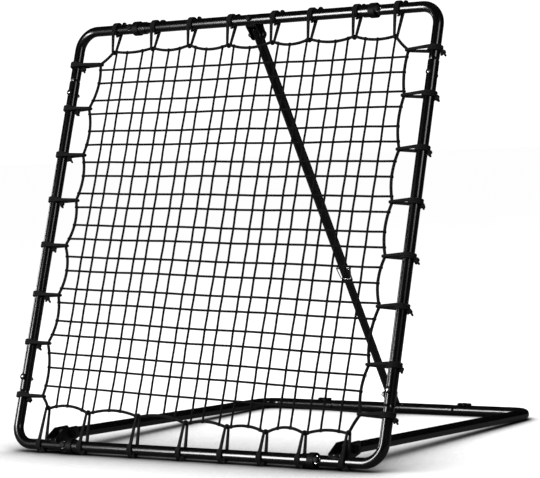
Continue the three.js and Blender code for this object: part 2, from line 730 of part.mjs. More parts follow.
// The slot stands for the row of pin holes, so that the tube can slide with the pin in place.
function stayInner() {
  const top = -(STAY_OUTER_LENGTH - STAY_OVERLAP);
  const stations = [[STAY_INNER_R, -stayLength - FOOT_END], [STAY_INNER_R, top]];
  const tube = lieAlongZ(turnedTube(stations, STAY_WALL, STAY_SIDES));
  const slotR = clearHole(PIN_R);
  const slot = new THREE.BoxGeometry(4 * STAY_OUTER_R, 2 * slotR, STAY_TRAVEL + 2 * slotR);
  slot.translate(0, 0, pinZ + STAY_TRAVEL / 2);
  const drilled = cut(solid(tube), slot, stayHole(M8_R + FOOT_CLEARANCE, -stayLength));
  return piece("stay_inner", geometryOf(drilled), blackPowderCoat);
}

function stayEndRing() {
  const top = -STAY_OUTER_LENGTH - GAP;
  const stations = [[STAY_OUTER_R, top - END_RING_LENGTH], [STAY_OUTER_R, top]];
  const ring = turnedTube(stations, STAY_OUTER_R - STAY_INNER_R - GAP, STAY_SIDES);
  return piece("stay_end_ring", lieAlongZ(ring), blackPlastic);
}

const pinSeat = STAY_OUTER_R + GAP;
const pinTail = -(STAY_OUTER_R + PIN_TAIL);
const pinHeadMiddle = pinSeat + PIN_HEAD_LENGTH / 2;

// The pin lies along X with its head on the +X side.
function lockPin() {
  const profile = [
    [0, pinTail],
    [PIN_R - PIN_CHAMFER, pinTail],
    [PIN_R, pinTail + PIN_CHAMFER],
    [PIN_R, pinSeat],
    [PIN_HEAD_R, pinSeat],
    [PIN_HEAD_R, pinSeat + PIN_HEAD_LENGTH],
    [0, pinSeat + PIN_HEAD_LENGTH],
  ];
  const wireHole = rod(clearHole(BAIL_WIRE_R), -2 * PIN_HEAD_R, 2 * PIN_HEAD_R);
  wireHole.translate(pinHeadMiddle, 0, 0);
  return piece("lock_pin", geometryOf(cut(solid(lieAlongX(turned(profile, STAY_SIDES))), wireHole)), zinc);
}

// The wire bail hangs from its hole in the head, passes in front of the stay and hooks over the pin's tail.
function pinBail() {
  const front = -(PIN_HEAD_R + BAIL_WIRE_R + BAIL_BEND_R);
  const far = pinTail + 2 * BAIL_WIRE_R;
  const hook = -(PIN_R / Math.cos(Math.PI / STAY_SIDES) + 3 * GAP + BAIL_WIRE_R);
  const route = [
    new THREE.Vector3(pinHeadMiddle, PIN_HEAD_R, 0),
    new THREE.Vector3(pinHeadMiddle, front, 0),
    new THREE.Vector3(pinHeadMiddle, front, -BAIL_DROP),
    new THREE.Vector3(far, front, -BAIL_DROP),
    new THREE.Vector3(far, hook, 0),
  ];
  const wire = sweep(ringOutline(BAIL_WIRE_R, BAIL_SIDES), bentRoute(route, BAIL_BEND_R, BAIL_BEND_STEPS));
  return piece("pin_bail", wire, springWire);
}

function stay() {
  const pin = new THREE.Group();
  pin.add(lockPin(), pinBail());
  pin.position.z = pinZ;
  pin.rotation.x = -stayTilt; // upright again, as the bail hangs
  const group = new THREE.Group();
  group.add(stayOuter(), stayInner(), stayEndRing(), pin);
  group.position.set(0, stayPivot.x, stayPivot.y);
  group.rotation.x = stayTilt;
  return group;
}

// ---- Assembly ---------------------------------------------------------------------------------------

function netFrame() {
  const group = new THREE.Group();
  const topRail = rail("top_rail", [boltHole(0, 0)]);
  topRail.position.z = FRAME_HEIGHT;
  group.add(corners(), rail("bottom_rail"), topRail, frameBolts(), net(), borderAndTies());
  for (const { word, side } of both) {
    group.add(upright("upright_" + word, side * HALF_W));
    group.add(collar("collar_top_" + word, side, FRAME_HEIGHT));
    group.add(collar("collar_bottom_" + word, side, 0));
  }
  const bracketBolt = boltAndNut("stay_bracket", M6_R, TUBE_R, STAY_SEAT_R);
  bracketBolt.position.z = FRAME_HEIGHT;
  group.add(bracketBolt);
  group.position.z = BOTTOM_AXIS_Z;
  group.rotation.x = -LEAN;
  return group;
}

function rebounder() {
  const model = new THREE.Group();
  model.add(netFrame(), stayBracket(), stayFootBracket(), rearRail(), stay());
  for (const { word, side } of both) {
    model.add(hingeBracket("hinge_bracket_" + word, side * ARM_X));
    model.add(baseSide("base_side_" + word, side), armPlug("arm_plug_" + word, side));
    model.add(rearScrew(word, side));
    model.add(pivotBolt("hinge_" + word, TUBE_R + HINGE_CLEARANCE + PLATE, side * ARM_X, hingePin));
  }
  model.add(pivotBolt("stay_pivot", STAY_OUTER_R + HINGE_CLEARANCE + PLATE, 0, stayPivot));
  model.add(pivotBolt("foot", STAY_INNER_R + HINGE_CLEARANCE + PLATE, 0, footPivot));
  model.position.y = -originY;
  const part = new THREE.Group();
  part.add(model);
  return part;
}

export default rebounder();
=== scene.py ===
"""Looks of a pitch back rebounder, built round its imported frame.

Metres, +Z up.  X runs along the rails, the ball comes from -Y and the ground base lies towards +Y.
Every piece is a grid of points: rings carried along a line, or a profile turned about an axis.
Sizes are in millimetres in the classes of the sub-assemblies, and are scaled as a mesh is built.
The small numbers in a profile's rows are its chamfers and roundings: millimetres where they are
added to a size, shares where they multiply one.
"""

from __future__ import annotations

import json
import logging
import math
from dataclasses import dataclass, field, replace
from enum import Enum
from typing import Callable, ClassVar, Sequence

import bpy
import numpy as np
from mathutils import Matrix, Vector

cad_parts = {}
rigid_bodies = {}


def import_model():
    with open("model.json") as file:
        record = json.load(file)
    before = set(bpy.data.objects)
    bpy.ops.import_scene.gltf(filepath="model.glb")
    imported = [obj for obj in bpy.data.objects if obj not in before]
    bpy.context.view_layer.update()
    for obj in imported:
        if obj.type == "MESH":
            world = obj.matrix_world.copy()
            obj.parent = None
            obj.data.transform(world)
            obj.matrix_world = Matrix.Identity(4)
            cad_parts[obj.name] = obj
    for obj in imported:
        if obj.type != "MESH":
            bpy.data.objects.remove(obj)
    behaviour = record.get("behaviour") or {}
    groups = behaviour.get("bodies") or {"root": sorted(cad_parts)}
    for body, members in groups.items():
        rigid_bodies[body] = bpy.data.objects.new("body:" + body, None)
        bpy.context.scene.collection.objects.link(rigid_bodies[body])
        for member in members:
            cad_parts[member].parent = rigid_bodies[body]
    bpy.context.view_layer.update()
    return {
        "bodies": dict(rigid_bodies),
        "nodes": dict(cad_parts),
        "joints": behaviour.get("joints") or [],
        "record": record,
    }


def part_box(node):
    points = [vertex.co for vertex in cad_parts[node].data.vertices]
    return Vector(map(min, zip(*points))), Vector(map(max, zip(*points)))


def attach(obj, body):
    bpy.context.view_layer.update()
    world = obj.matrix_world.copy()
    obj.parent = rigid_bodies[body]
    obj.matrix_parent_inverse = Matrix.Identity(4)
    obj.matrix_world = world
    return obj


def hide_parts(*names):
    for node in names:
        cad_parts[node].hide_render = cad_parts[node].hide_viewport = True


log = logging.getLogger("rebounder")

Array = np.ndarray
Point = Sequence[float]
Station = tuple[float, float]
Colour = tuple[float, float, float]
Socket = bpy.types.NodeSocket
Sockets = dict[str, Socket]

MM = 0.001
TAU = 2.0 * math.pi
SMOOTH_UNDER = math.radians(38.0)
NO_HEXAGON = 1.0e3  # flats so far out that a section stays round
SUPPORT = 0.8  # how near an edge a ring keeps the wall's shading flat
RIM = 0.4  # chamfer of a tube's ends
SEAT = 0.3  # gap under a head, nut or cap
PLAY = 0.1  # between a bolt and what it carries
FIBRE = 0.35  # height of a cord's fibres against its strands
TUBE_POINTS = 40
BEND_STEPS = 14
ARC_STEPS = 18
EYE_STEPS = 20
RIGHT, LEFT = (1.0, 0.0, 0.0), (-1.0, 0.0, 0.0)
BACK, FRONT = (0.0, 1.0, 0.0), (0.0, -1.0, 0.0)
UP, DOWN = (0.0, 0.0, 1.0), (0.0, 0.0, -1.0)


# ---- Surfaces ----


class Ends(Enum):
    """How the first and the last ring of a surface are finished."""

    JOINED = "the last ring runs back into the first"
    CAPPED = "a flat face closes each end"


@dataclass(frozen=True)
class Surface:
    """A grid of points, ring by ring, with the length along it that its pattern follows."""

    grid: Array
    along: Array
    ends: Ends = Ends.CAPPED

    def faces(self, first: int) -> tuple[list[Array], Array]:
        """Lists the faces as vertex indices, and the pattern coordinates of their corners.

        Quad (i, j) joins rings i and i + 1 between points j and j + 1, both counted round.

        Args:
            first: Index of the surface's first vertex in its mesh.

        Returns:
            Face arrays of equal corner counts, and the (corner, 2) pattern coordinates.
        """
        rings, around = self.grid.shape[:2]
        spans = rings if self.ends is Ends.JOINED else rings - 1
        i, j = np.meshgrid(np.arange(spans), np.arange(around), indexing="ij")
        i_next, j_next = (i + 1) % rings, (j + 1) % around
        low, high = i * around, i_next * around
        quads = np.stack([low + j, low + j_next, high + j_next, high + j], axis=-1).reshape(-1, 4)
        far = np.where(i_next == 0, self.along[-1], self.along[i_next])
        u = np.stack([self.along[i], self.along[i], far, far], axis=-1)
        v = np.stack([j, j + 1, j + 1, j], axis=-1) / around
        faces, pattern = [quads + first], [np.stack([u, v], axis=-1).reshape(-1, 2)]
        if self.ends is Ends.CAPPED:
            ring = np.arange(around)
            far_ring = ring + (rings - 1) * around
            for cap, at in ((ring[::-1], self.along[0]), (far_ring, self.along[-1])):
                faces.append(cap[None, :] + first)
                pattern.append(np.column_stack([np.full(around, at), np.zeros(around)]))
        return faces, np.concatenate(pattern)


def unit(vectors: Array) -> Array:
    """Returns the vectors scaled to length one."""
    return vectors / np.linalg.norm(vectors, axis=-1, keepdims=True)


def tangents_of(points: Array, closed: bool = False) -> Array:
    """Returns a line's directions: at each point, from the one before to the one after."""
    if closed:
        return unit(np.roll(points, -1, axis=0) - np.roll(points, 1, axis=0))
    padded = np.concatenate([points[:1], points, points[-1:]])
    return unit(padded[2:] - padded[:-2])


def lengths_along(points: Array) -> Array:
    """Returns the running length of a line at each of its points."""
    return np.append(0.0, np.cumsum(np.linalg.norm(np.diff(points, axis=0), axis=1)))


def sweep(
    points: Array, tangents: Array, reference: Point, radii: Array | float, around: int,
    ends: Ends = Ends.CAPPED,
) -> Surface:
    """Carries a ring of points along a line.

    At each point N is the reference direction less its part along the tangent T, B is T x N, and
    the ring is P + r (cos a N + sin a B) for a from 0 to a full turn.

    Args:
        points: The line's points.
        tangents: Its unit directions.
        reference: A direction that the line never follows.
        radii: One radius, one for each point, or one for each point and each step round.
        around: Points in each ring.
        ends: How the first and last rings are finished.

    Returns:
        The swept surface.
    """
    reference = np.array(reference, float)
    normal = unit(reference - (tangents @ reference)[:, None] * tangents)
    across = np.cross(tangents, normal)
    angle = (np.arange(around) * TAU / around)[None, :, None]
    ring = np.cos(angle) * normal[:, None, :] + np.sin(angle) * across[:, None, :]
    radii = np.asarray(radii, float)
    if radii.ndim < 2:
        radii = np.broadcast_to(radii, (len(points),))[:, None]
    return Surface(points[:, None, :] + radii[:, :, None] * ring, lengths_along(points), ends)


class Centreline:
    """Straight legs joined by circular bends, read by the length along them."""

    def __init__(self, corners: Sequence[Point], bend: float = 0.0) -> None:
        """Lays out the legs and bends.

        Args:
            corners: The points where the legs would meet.
            bend: Radius of each bend.
        """
        corner = np.array(corners, float)
        leg = np.diff(corner, axis=0)
        self._ahead = unit(leg)
        cosine = np.sum(self._ahead[:-1] * self._ahead[1:], axis=1)
        self._turn = np.arccos(np.clip(cosine, -1.0, 1.0))
        self._bend = bend
        cut = bend * np.tan(self._turn / 2.0)
        self._leg_from = corner[:-1] + self._ahead * np.append(0.0, cut)[:, None]
        self._leg_length = np.linalg.norm(leg, axis=1) - np.append(cut, 0.0) - np.append(0.0, cut)
        spans = self._leg_length + np.append(bend * self._turn, 0.0)
        self._leg_start = np.append(0.0, np.cumsum(spans))[:-1]
        self.length = float(np.sum(spans))

    def bends(self, steps: int) -> Array:
        """Returns the lengths at which rings are needed to round each bend in that many steps."""
        start = (self._leg_start + self._leg_length)[:-1]
        share = np.linspace(0.0, 1.0, steps + 1)
        return (start[:, None] + self._bend * self._turn[:, None] * share).ravel()

    def at(self, along: Array) -> tuple[Array, Array]:
        """Reads points and directions at the given lengths.

        On a bend through angle a the point leaves the leg's end by r sin a along the leg ahead and
        by r (1 - cos a) towards the next one.

        Args:
            along: Lengths from the start, which may reach past either end.

        Returns:
            The points and the unit directions.
        """
        k = np.clip(np.searchsorted(self._leg_start, along, side="right") - 1, 0, None)
        directions = self._ahead[k]
        points = self._leg_from[k] + directions * (along - self._leg_start[k])[:, None]
        over = along - self._leg_start[k] - self._leg_length[k]
        bent = (over > 0.0) & (k < len(self._leg_start) - 1)
        leg = k[bent]
        angle = (over[bent] / self._bend)[:, None]
        ahead, following = self._ahead[leg], self._ahead[leg + 1]
        side = unit(following - np.sum(following * ahead, axis=1, keepdims=True) * ahead)
        end = self._leg_from[leg] + ahead * self._leg_length[leg][:, None]
        points[bent] = end + self._bend * (np.sin(angle) * ahead + (1.0 - np.cos(angle)) * side)
        directions[bent] = np.cos(angle) * ahead + np.sin(angle) * side
        return points, directions


def tube(
    line: Centreline, stations: Sequence[Station], wall: float, reference: Point = BACK
) -> Surface:
    """Makes an open-ended tube with its wall: out along the outside and back along the bore.

    Args:
        line: The tube's centre line.
        stations: Pairs of length along it and outside radius; both end rims get a chamfer.
        wall: Wall thickness.
        reference: A direction that the line never follows.

    Returns:
        One closed surface.
    """
    (first, r0), (last, r1) = stations[0], stations[-1]
    chamfer = ((0.0, 1.0), (0.35, 0.35), (1.0, 0.0))
    start = [(first + RIM * s, r0 - RIM * r) for s, r in chamfer]
    end = [(last - RIM * s, r1 - RIM * r) for s, r in reversed(chamfer)]
    profile = np.array([*start, *stations[1:-1], *end])
    beside = profile[:, :1] + np.array([-SUPPORT, SUPPORT])
    between = np.append(line.bends(BEND_STEPS), beside)
    between = between[(between > first + RIM) & (between < last - RIM)]
    along = np.unique(np.round(np.append(profile[:, 0], between), 5))
    outside = np.interp(along, *profile.T)
    bore = np.interp(along, *np.array(stations, float).T) - wall
    there = np.append(along, along[::-1])
    radii = np.append(outside, bore[::-1])
    grid = sweep(*line.at(there), reference, radii, TUBE_POINTS).grid
    return Surface(grid, there, Ends.JOINED)


def straight_tube(
    ends: Sequence[Point], radius: float, wall: float, neck: Point = (), reference: Point = BACK
) -> Surface:
    """Makes a straight tube, with both ends necked where a neck is given.

    Args:
        ends: Both ends of its centre line.
        radius: Outside radius.
        wall: Wall thickness.
        neck: Radius and length of a neck, and length of the swage behind it.
        reference: A direction across it.

    Returns:
        One closed surface.
    """
    line = Centreline(ends)
    half = [(0.0, radius)]
    if neck:
        necked, spigot, swage = neck
        half = [(0.0, necked), (spigot, necked), (spigot + swage, radius)]
    stations = [*half, *[(line.length - s, r) for s, r in reversed(half)]]
    return tube(line, stations, wall, reference)


def turned(
    profile: Sequence[Point], start: Point, axis: Point, around: int = 48, ends: Ends = Ends.CAPPED
) -> Surface:
    """Turns a profile about an axis, each station either round or with six flats.

    The radius at angle a is the smaller of the station's circle and its hexagon, whose radius is
    the half width across flats over cos(a - nearest flat).

    Args:
        profile: Rows of height, radius and, for a section with flats, half the width across them.
        start: The point where the height is zero.
        axis: Direction of the height.
        around: Points in each ring.
        ends: How the first and last rings are finished.

    Returns:
        The turned surface.
    """
    rows = [(*row, NO_HEXAGON)[:3] for row in profile]
    height, circle, flats = np.array(rows, float).T
    direction = unit(np.array(axis, float))
    spare = np.eye(3)[int(np.argmin(np.abs(direction)))]
    angle = np.arange(around) * TAU / around
    from_flat = (angle + TAU / 12.0) % (TAU / 6.0) - TAU / 12.0
    radii = np.minimum(circle[:, None], flats[:, None] / np.cos(from_flat)[None, :])
    points = np.array(start, float) + height[:, None] * direction
    tangents = np.broadcast_to(direction, points.shape)
    grid = sweep(points, tangents, spare, radii, around).grid
    return Surface(grid, lengths_along(np.stack([height, circle], axis=1)), ends)


def eased(corners: Sequence[Station], radius: float, steps: int = 6) -> Array:
    """Rounds the corners of a closed outline.

    At each corner the arc starts and ends r tan(turn / 2) away along both edges, at most 45 % of
    them.

    Args:
        corners: The outline's corners in order.
        radius: Radius wanted at each corner.
        steps: Steps in each arc.

    Returns:
        The rounded outline's points.
    """
    corner = np.array(corners, float)
    rows = []
    for at, before, after in zip(corner, np.roll(corner, 1, axis=0), np.roll(corner, -1, axis=0)):
        back, ahead = before - at, after - at
        reach = 0.45 * min(np.linalg.norm(back), np.linalg.norm(ahead))
        back, ahead = unit(back), unit(ahead)
        half = math.acos(float(back @ ahead)) / 2.0
        cut = min(reach, radius / math.tan(half))
        centre = at + unit(back + ahead) * cut / math.cos(half)
        start, end = at + back * cut - centre, at + ahead * cut - centre
        turn = math.pi - 2.0 * half
        share = np.linspace(0.0, 1.0, steps + 1)[:, None]
        swung = np.sin((1.0 - share) * turn) * start + np.sin(share * turn) * end
        rows.append(centre + swung / math.sin(turn))
    return np.concatenate(rows)


def arc(radius: float, start: float, end: float, steps: int, centre: Point = (0.0, 0.0)) -> Array:
    """Returns points on a circle between two angles in degrees."""
    angle = np.radians(np.linspace(start, end, steps + 1))
    return np.array(centre) + radius * np.stack([np.cos(angle), np.sin(angle)], axis=1)


def plate(outline: Array, low: float, high: float, edge: float) -> Surface:
    """Makes a flat plate across X from its outline in Y and Z, with its edges eased.

    Args:
        outline: The closed outline's points.
        low: X of one face.
        high: X of the other face.
        edge: Size of the chamfer round each face.

    Returns:
        One closed surface.
    """
    y, z = outline.T
    ring = outline if np.sum(y * np.roll(z, -1) - z * np.roll(y, -1)) > 0.0 else outline[::-1]
    ahead = unit(np.roll(ring, -1, axis=0) - ring)
    inward = np.stack([-ahead[:, 1], ahead[:, 0]], axis=1)
    both = inward + np.roll(inward, 1, axis=0)
    miter = 2.0 * both / np.maximum(np.sum(both * both, axis=1, keepdims=True), 1.0)
    rows = [(low + edge * s, edge * r) for s, r in ((0.0, 1.0), (0.4, 0.3), (1.0, 0.0))]
    rows += [(high - edge * s, edge * r) for s, r in ((1.0, 0.0), (0.4, 0.3), (0.0, 1.0))]
    grid = [np.column_stack([np.full(len(ring), x), ring + miter * inset]) for x, inset in rows]
    return Surface(np.stack(grid), np.array([x for x, _ in rows]))


def mesh_of(name: str, surfaces: Sequence[Surface]) -> bpy.types.Object:
    """Puts closed surfaces, given in millimetres, into one mesh object at the origin.

    Args:
        name: Name of the object.
        surfaces: The surfaces, each closed by its own faces.

    Returns:
        The object, linked to the scene, with a UV map of metres along and turns around.
    """
    counts = np.cumsum([0] + [s.grid.shape[0] * s.grid.shape[1] for s in surfaces])
    made = [s.faces(int(first)) for s, first in zip(surfaces, counts)]
    groups = [group for faces, _ in made for group in faces]
    corners = np.concatenate([group.ravel() for group in groups]).astype(np.int32)
    totals = np.concatenate([np.full(len(group), group.shape[1]) for group in groups])
    starts = np.append(0, np.cumsum(totals)[:-1]).astype(np.int32)
    points = np.concatenate([s.grid.reshape(-1, 3) for s in surfaces]) * MM
    pattern = np.concatenate([uv for _, uv in made]) * np.array([MM, 1.0])
    mesh = bpy.data.meshes.new(name)
    mesh.vertices.add(len(points))
    mesh.vertices.foreach_set("co", points.astype(np.float32).ravel())
    mesh.loops.add(len(corners))
    mesh.loops.foreach_set("vertex_index", corners)
    mesh.polygons.add(len(starts))
    mesh.polygons.foreach_set("loop_start", starts)
    layer = mesh.uv_layers.new(name="pattern")
    layer.data.foreach_set("uv", pattern.astype(np.float32).ravel())
    mesh.update(calc_edges=True)
    mesh.validate()
    mesh.shade_smooth()
    mesh.set_sharp_from_angle(angle=SMOOTH_UNDER)
    return linked(name, mesh)


def linked(name: str, data: bpy.types.ID) -> bpy.types.Object:
    """Makes an object of a mesh, light or camera and links it to the scene."""
    made = bpy.data.objects.new(name, data)
    bpy.context.scene.collection.objects.link(made)
    return made


# ---- Finishes ----


class Graph:
    """Adds nodes to a shader tree and wires them as they are made."""

    def __init__(self, tree: bpy.types.NodeTree) -> None:
        """Keeps the tree that the nodes go into."""
        self.tree = tree

    def node(self, kind: str, **settings: object) -> bpy.types.Node:
        """Adds a node and sets the named properties on it."""
        made = self.tree.nodes.new("ShaderNode" + kind)
        for key, value in settings.items():
            setattr(made, key, value)
        return made

    def found(self, kind: str) -> bpy.types.Node:
        """Returns the node of a type that the tree already has."""
        return next(node for node in self.tree.nodes if node.type == kind)

    def feed(self, node: bpy.types.Node, **values: object) -> bpy.types.Node:
        """Links or sets inputs, each named with _ for a space, and returns the node."""
        for title, value in values.items():
            self.wire(node.inputs[title.replace("_", " ")], value)
        return node

    def wire(self, socket: Socket, value: object) -> None:
        """Links a socket to the value if that is a socket, and otherwise sets it."""
        if isinstance(value, Socket):
            self.tree.links.new(value, socket)
        else:
            socket.default_value = value

    def math(self, operation: str, *values: object) -> Socket:
        """Adds a Math node over up to three values and returns its result."""
        made = self.node("Math", operation=operation)
        for socket, value in zip(made.inputs, values):
            self.wire(socket, value)
        return made.outputs[0]

    def spread(self, value: object, low: float, high: float) -> Socket:
        """Maps a value from 0..1 to low..high."""
        made = self.node("MapRange")
        return self.feed(made, Value=value, To_Min=low, To_Max=high).outputs[0]

    def mix(self, share: object, first: object, second: object) -> Socket:
        """Mixes two colours by a share."""
        made = self.node("Mix", data_type="RGBA")
        for title, value in (("Factor", share), ("A", first), ("B", second)):
            self.wire(made.inputs[title], value)
        return made.outputs["Result"]

    def noise(self, scale: object, detail: float) -> Socket:
        """Adds a noise texture on Object coordinates and returns its value."""
        place = self.node("TexCoord").outputs["Object"]
        made = self.node("TexNoise")
        return self.feed(made, Vector=place, Scale=scale, Detail=detail).outputs["Fac"]

    def split(self, vector: Socket) -> bpy.types.NodeOutputs:
        """Returns a vector's X, Y and Z."""
        return self.feed(self.node("SeparateXYZ"), Vector=vector).outputs


def wire_grain(graph: Graph, given: Sockets) -> Sockets:
    """Fine grain for the height, a broad mottle, and dust by the cube of how far it faces up."""
    broad = graph.noise(given["Mottle"], detail=4.0)
    up = graph.split(graph.node("NewGeometry").outputs["Normal"])["Z"]
    facing = graph.math("POWER", graph.math("MAXIMUM", up, 0.0), 3.0)
    dust = graph.math("MULTIPLY", facing, broad)
    return {"Height": graph.noise(given["Grain"], detail=2.0), "Tone": broad, "Dust": dust}


def wire_strands(graph: Graph, given: Sockets) -> Sockets:
    """Strands wound round a cord: |sin(pi (u * turns + v * strands))|, crossed by its mirror."""
    uv = graph.split(graph.node("UVMap", uv_map="pattern").outputs["UV"])
    wound = graph.math("MULTIPLY", uv["X"], given["Turns"])
    around = graph.math("MULTIPLY", uv["Y"], given["Strands"])
    crests = []
    for way in ("ADD", "SUBTRACT"):
        phase = graph.math("MULTIPLY", graph.math(way, wound, around), math.pi)
        crests.append(graph.math("ABSOLUTE", graph.math("SINE", phase)))
    crossed = graph.math("MULTIPLY", crests[1], given["Cross"])
    crest = graph.math("MAXIMUM", crests[0], crossed)
    fibre = graph.noise(given["Fibre"], detail=3.0)
    # The tone is the crest, so the colour darkens in the grooves between strands: painted shade.
    return {"Height": graph.math("MULTIPLY_ADD", fibre, FIBRE, crest), "Tone": crest}


class Pattern(Enum):
    """What runs over a finish: its node group, and that group's inputs, outputs and wiring."""

    GRAIN = ("surface_grain", ("Grain", "Mottle"), ("Height", "Tone", "Dust"), wire_grain)
    STRANDS = (
        "cord_strands", ("Turns", "Strands", "Cross", "Fibre"), ("Height", "Tone"), wire_strands,
    )

    def __init__(
        self, group: str, inputs: tuple[str, ...], outputs: tuple[str, ...],
        wiring: Callable[[Graph, Sockets], Sockets],
    ) -> None:
        """Keeps the pattern's group name, its inputs and outputs, and what wires it."""
        self.group, self.inputs, self.outputs, self.wiring = group, inputs, outputs, wiring

    def build(self) -> None:
        """Builds the pattern's node group of float sockets."""
        tree = bpy.data.node_groups.new(self.group, "ShaderNodeTree")
        for way, titles in (("INPUT", self.inputs), ("OUTPUT", self.outputs)):
            for title in titles:
                tree.interface.new_socket(name=title, in_out=way, socket_type="NodeSocketFloat")
        entry, leave = tree.nodes.new("NodeGroupInput"), tree.nodes.new("NodeGroupOutput")
        made = self.wiring(Graph(tree), {title: entry.outputs[title] for title in self.inputs})
        for title, socket in made.items():
            tree.links.new(socket, leave.inputs[title])


@dataclass(frozen=True)
class Finish:
    """A surface finish: its colours, gloss and relief, worn by one slot of the record."""

    name: str
    slot: str
    dark: Colour
    light: Colour
    smooth: float
    rough: float
    metallic: float = 0.0
    specular: float = 0.5
    coat: float = 0.0
    coat_roughness: float = 0.15
    relief: float = 0.03
    bump: float = 0.25
    grain: float = 900.0
    mottle: float = 18.0
    dust: float = 0.0
    pattern: Pattern = Pattern.GRAIN
    turns: float = 90.0
    strands: float = 3.0
    cross: float = 0.0
    DUST: ClassVar[tuple[float, ...]] = (0.16, 0.15, 0.14, 1.0)

    def material(self) -> bpy.types.Material:
        """Returns a new material: one Principled shader, fed by the pattern's node group."""
        made = bpy.data.materials.new(self.name)
        made.use_nodes = True
        graph = Graph(made.node_tree)
        effect = graph.node("Group", node_tree=bpy.data.node_groups[self.pattern.group])
        own = {
            "Grain": self.grain, "Fibre": self.grain, "Mottle": self.mottle,
            "Turns": self.turns, "Strands": self.strands, "Cross": self.cross,
        }
        for title in self.pattern.inputs:
            effect.inputs[title].default_value = own[title]
        tone = effect.outputs["Tone"]
        # For the strand patterns the tone darkens the colour in the grooves between strands:
        # painted shade.
        colour = graph.mix(tone, (*self.dark, 1.0), (*self.light, 1.0))
        if self.dust:
            dust = graph.math("MULTIPLY", effect.outputs["Dust"], self.dust)
            colour = graph.mix(dust, colour, self.DUST)
        height, bump = effect.outputs["Height"], graph.node("Bump")
        graph.feed(bump, Strength=self.bump, Distance=self.relief * MM, Height=height)
        graph.feed(
            graph.found("BSDF_PRINCIPLED"),
            Base_Color=colour,
            Roughness=graph.spread(tone, self.smooth, self.rough),
            Normal=bump.outputs["Normal"],
            Metallic=self.metallic,
            Specular_IOR_Level=self.specular,
            Coat_Weight=self.coat,
            Coat_Roughness=self.coat_roughness,
        )
        return made


POWDER_COAT = Finish(
    "black_powder_coat", "powder_coat", (0.0012, 0.0012, 0.0014), (0.0030, 0.0030, 0.0034),
    0.19, 0.26, coat=0.12, coat_roughness=0.10, bump=0.12, grain=650.0, mottle=14.0, dust=0.02,
)
PLATE_COAT = Finish(
    "black_plate_coat", "plate", (0.0012, 0.0012, 0.0012), (0.0030, 0.0030, 0.0030),
    0.34, 0.48, specular=0.35, relief=0.05, grain=800.0, mottle=40.0, dust=0.04,
)
MOULDING = Finish(
    "black_moulding", "moulding", (0.001, 0.001, 0.001), (0.0026, 0.0026, 0.0026),
    0.50, 0.64, specular=0.15, relief=0.06, grain=1500.0, mottle=60.0, dust=0.03,
)
ZINC = Finish(
    "bright_zinc", "zinc", (0.50, 0.51, 0.53), (0.74, 0.75, 0.76),
    0.20, 0.36, metallic=1.0, relief=0.02, grain=1200.0, mottle=260.0,
)
BLACK_ZINC = Finish(
    "black_zinc", "zinc", (0.002, 0.002, 0.0022), (0.006, 0.006, 0.0062),
    0.42, 0.56, specular=0.25, relief=0.02, grain=1200.0, mottle=260.0,
)
SPRING_WIRE = Finish(
    "spring_wire", "spring_wire", (0.60, 0.60, 0.61), (0.80, 0.80, 0.80),
    0.12, 0.22, metallic=1.0, relief=0.01, grain=2500.0, mottle=300.0,
)
NET_TWINE = Finish(
    "net_twine", "net_cord", (0.002, 0.002, 0.002), (0.006, 0.006, 0.006),
    0.80, 0.95, specular=0.12, relief=0.35, bump=0.6, grain=3000.0,
    pattern=Pattern.STRANDS, turns=160.0,
)
BORDER_ROPE = Finish(
    "border_rope", "net_cord", (0.002, 0.002, 0.002), (0.007, 0.007, 0.007),
    0.78, 0.92, specular=0.15, relief=0.6, bump=0.7, grain=2500.0,
    pattern=Pattern.STRANDS, turns=110.0, strands=4.0, cross=1.0,
)
ELASTIC = Finish(
    "elastic_cord", "elastic_cord", (0.002, 0.002, 0.002), (0.007, 0.007, 0.007),
    0.70, 0.86, specular=0.18, relief=0.25, bump=0.6, grain=2500.0,
    pattern=Pattern.STRANDS, turns=330.0, strands=8.0, cross=1.0,
)
FINISHES = (
    POWDER_COAT, PLATE_COAT, MOULDING, ZINC, BLACK_ZINC, SPRING_WIRE,
    NET_TWINE, BORDER_ROPE, ELASTIC,
)


# ---- Places ----


@dataclass(frozen=True)
class Home:
    """Where pieces are made: the body they ride on, an origin and three unit directions."""

    body: str
    origin: Array
    turn: Array = field(default_factory=lambda: np.eye(3))

    @classmethod
    def tilted(cls, body: str, origin: Array, angle: float) -> Home:
        """Returns a home turned about +X by an angle."""
        sin, cos = math.sin(angle), math.cos(angle)
        return cls(body, origin, np.array([RIGHT, (0.0, cos, sin), (0.0, -sin, cos)]))

    def put(self, surface: Surface) -> Surface:
        """Returns the surface moved from the home's axes to the frame's."""
        return replace(surface, grid=self.origin + surface.grid @ self.turn)


def middle(node: str) -> Array:
    """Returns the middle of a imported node's box, in millimetres."""
    return np.sum(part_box(node), axis=0) / (2.0 * MM)


def central(node: str) -> Array:
    """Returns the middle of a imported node's box, moved across to X = 0."""
    return middle(node) * (0.0, 1.0, 1.0)


@dataclass(frozen=True)
class Places:
    """The homes of the sub-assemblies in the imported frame, and how far apart they meet."""

    net_frame: Home
    stay: Home
    stay_length: float
    top_pivot: Home
    foot: Home
    base: Home
    base_reach: Array

    @classmethod
    def read(cls) -> Places:
        """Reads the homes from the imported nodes' boxes."""
        bottom, top, rear = central("bottom_rail"), central("top_rail"), central("rear_rail")
        lean = math.atan2(top[1] - bottom[1], top[2] - bottom[2])
        pivot, foot = central("stay_pivot_bolt"), central("foot_bolt")
        tilt = math.atan2(foot[1] - pivot[1], pivot[2] - foot[2])
        return cls(
            net_frame=Home.tilted("net_frame", bottom, -lean),
            stay=Home.tilted("stay_outer", pivot, tilt),
            stay_length=float(np.linalg.norm(foot - pivot)),
            top_pivot=Home("net_frame", pivot),
            foot=Home("base", foot),
            base=Home("base", rear),
            base_reach=central("hinge_left_bolt") - rear,
        )


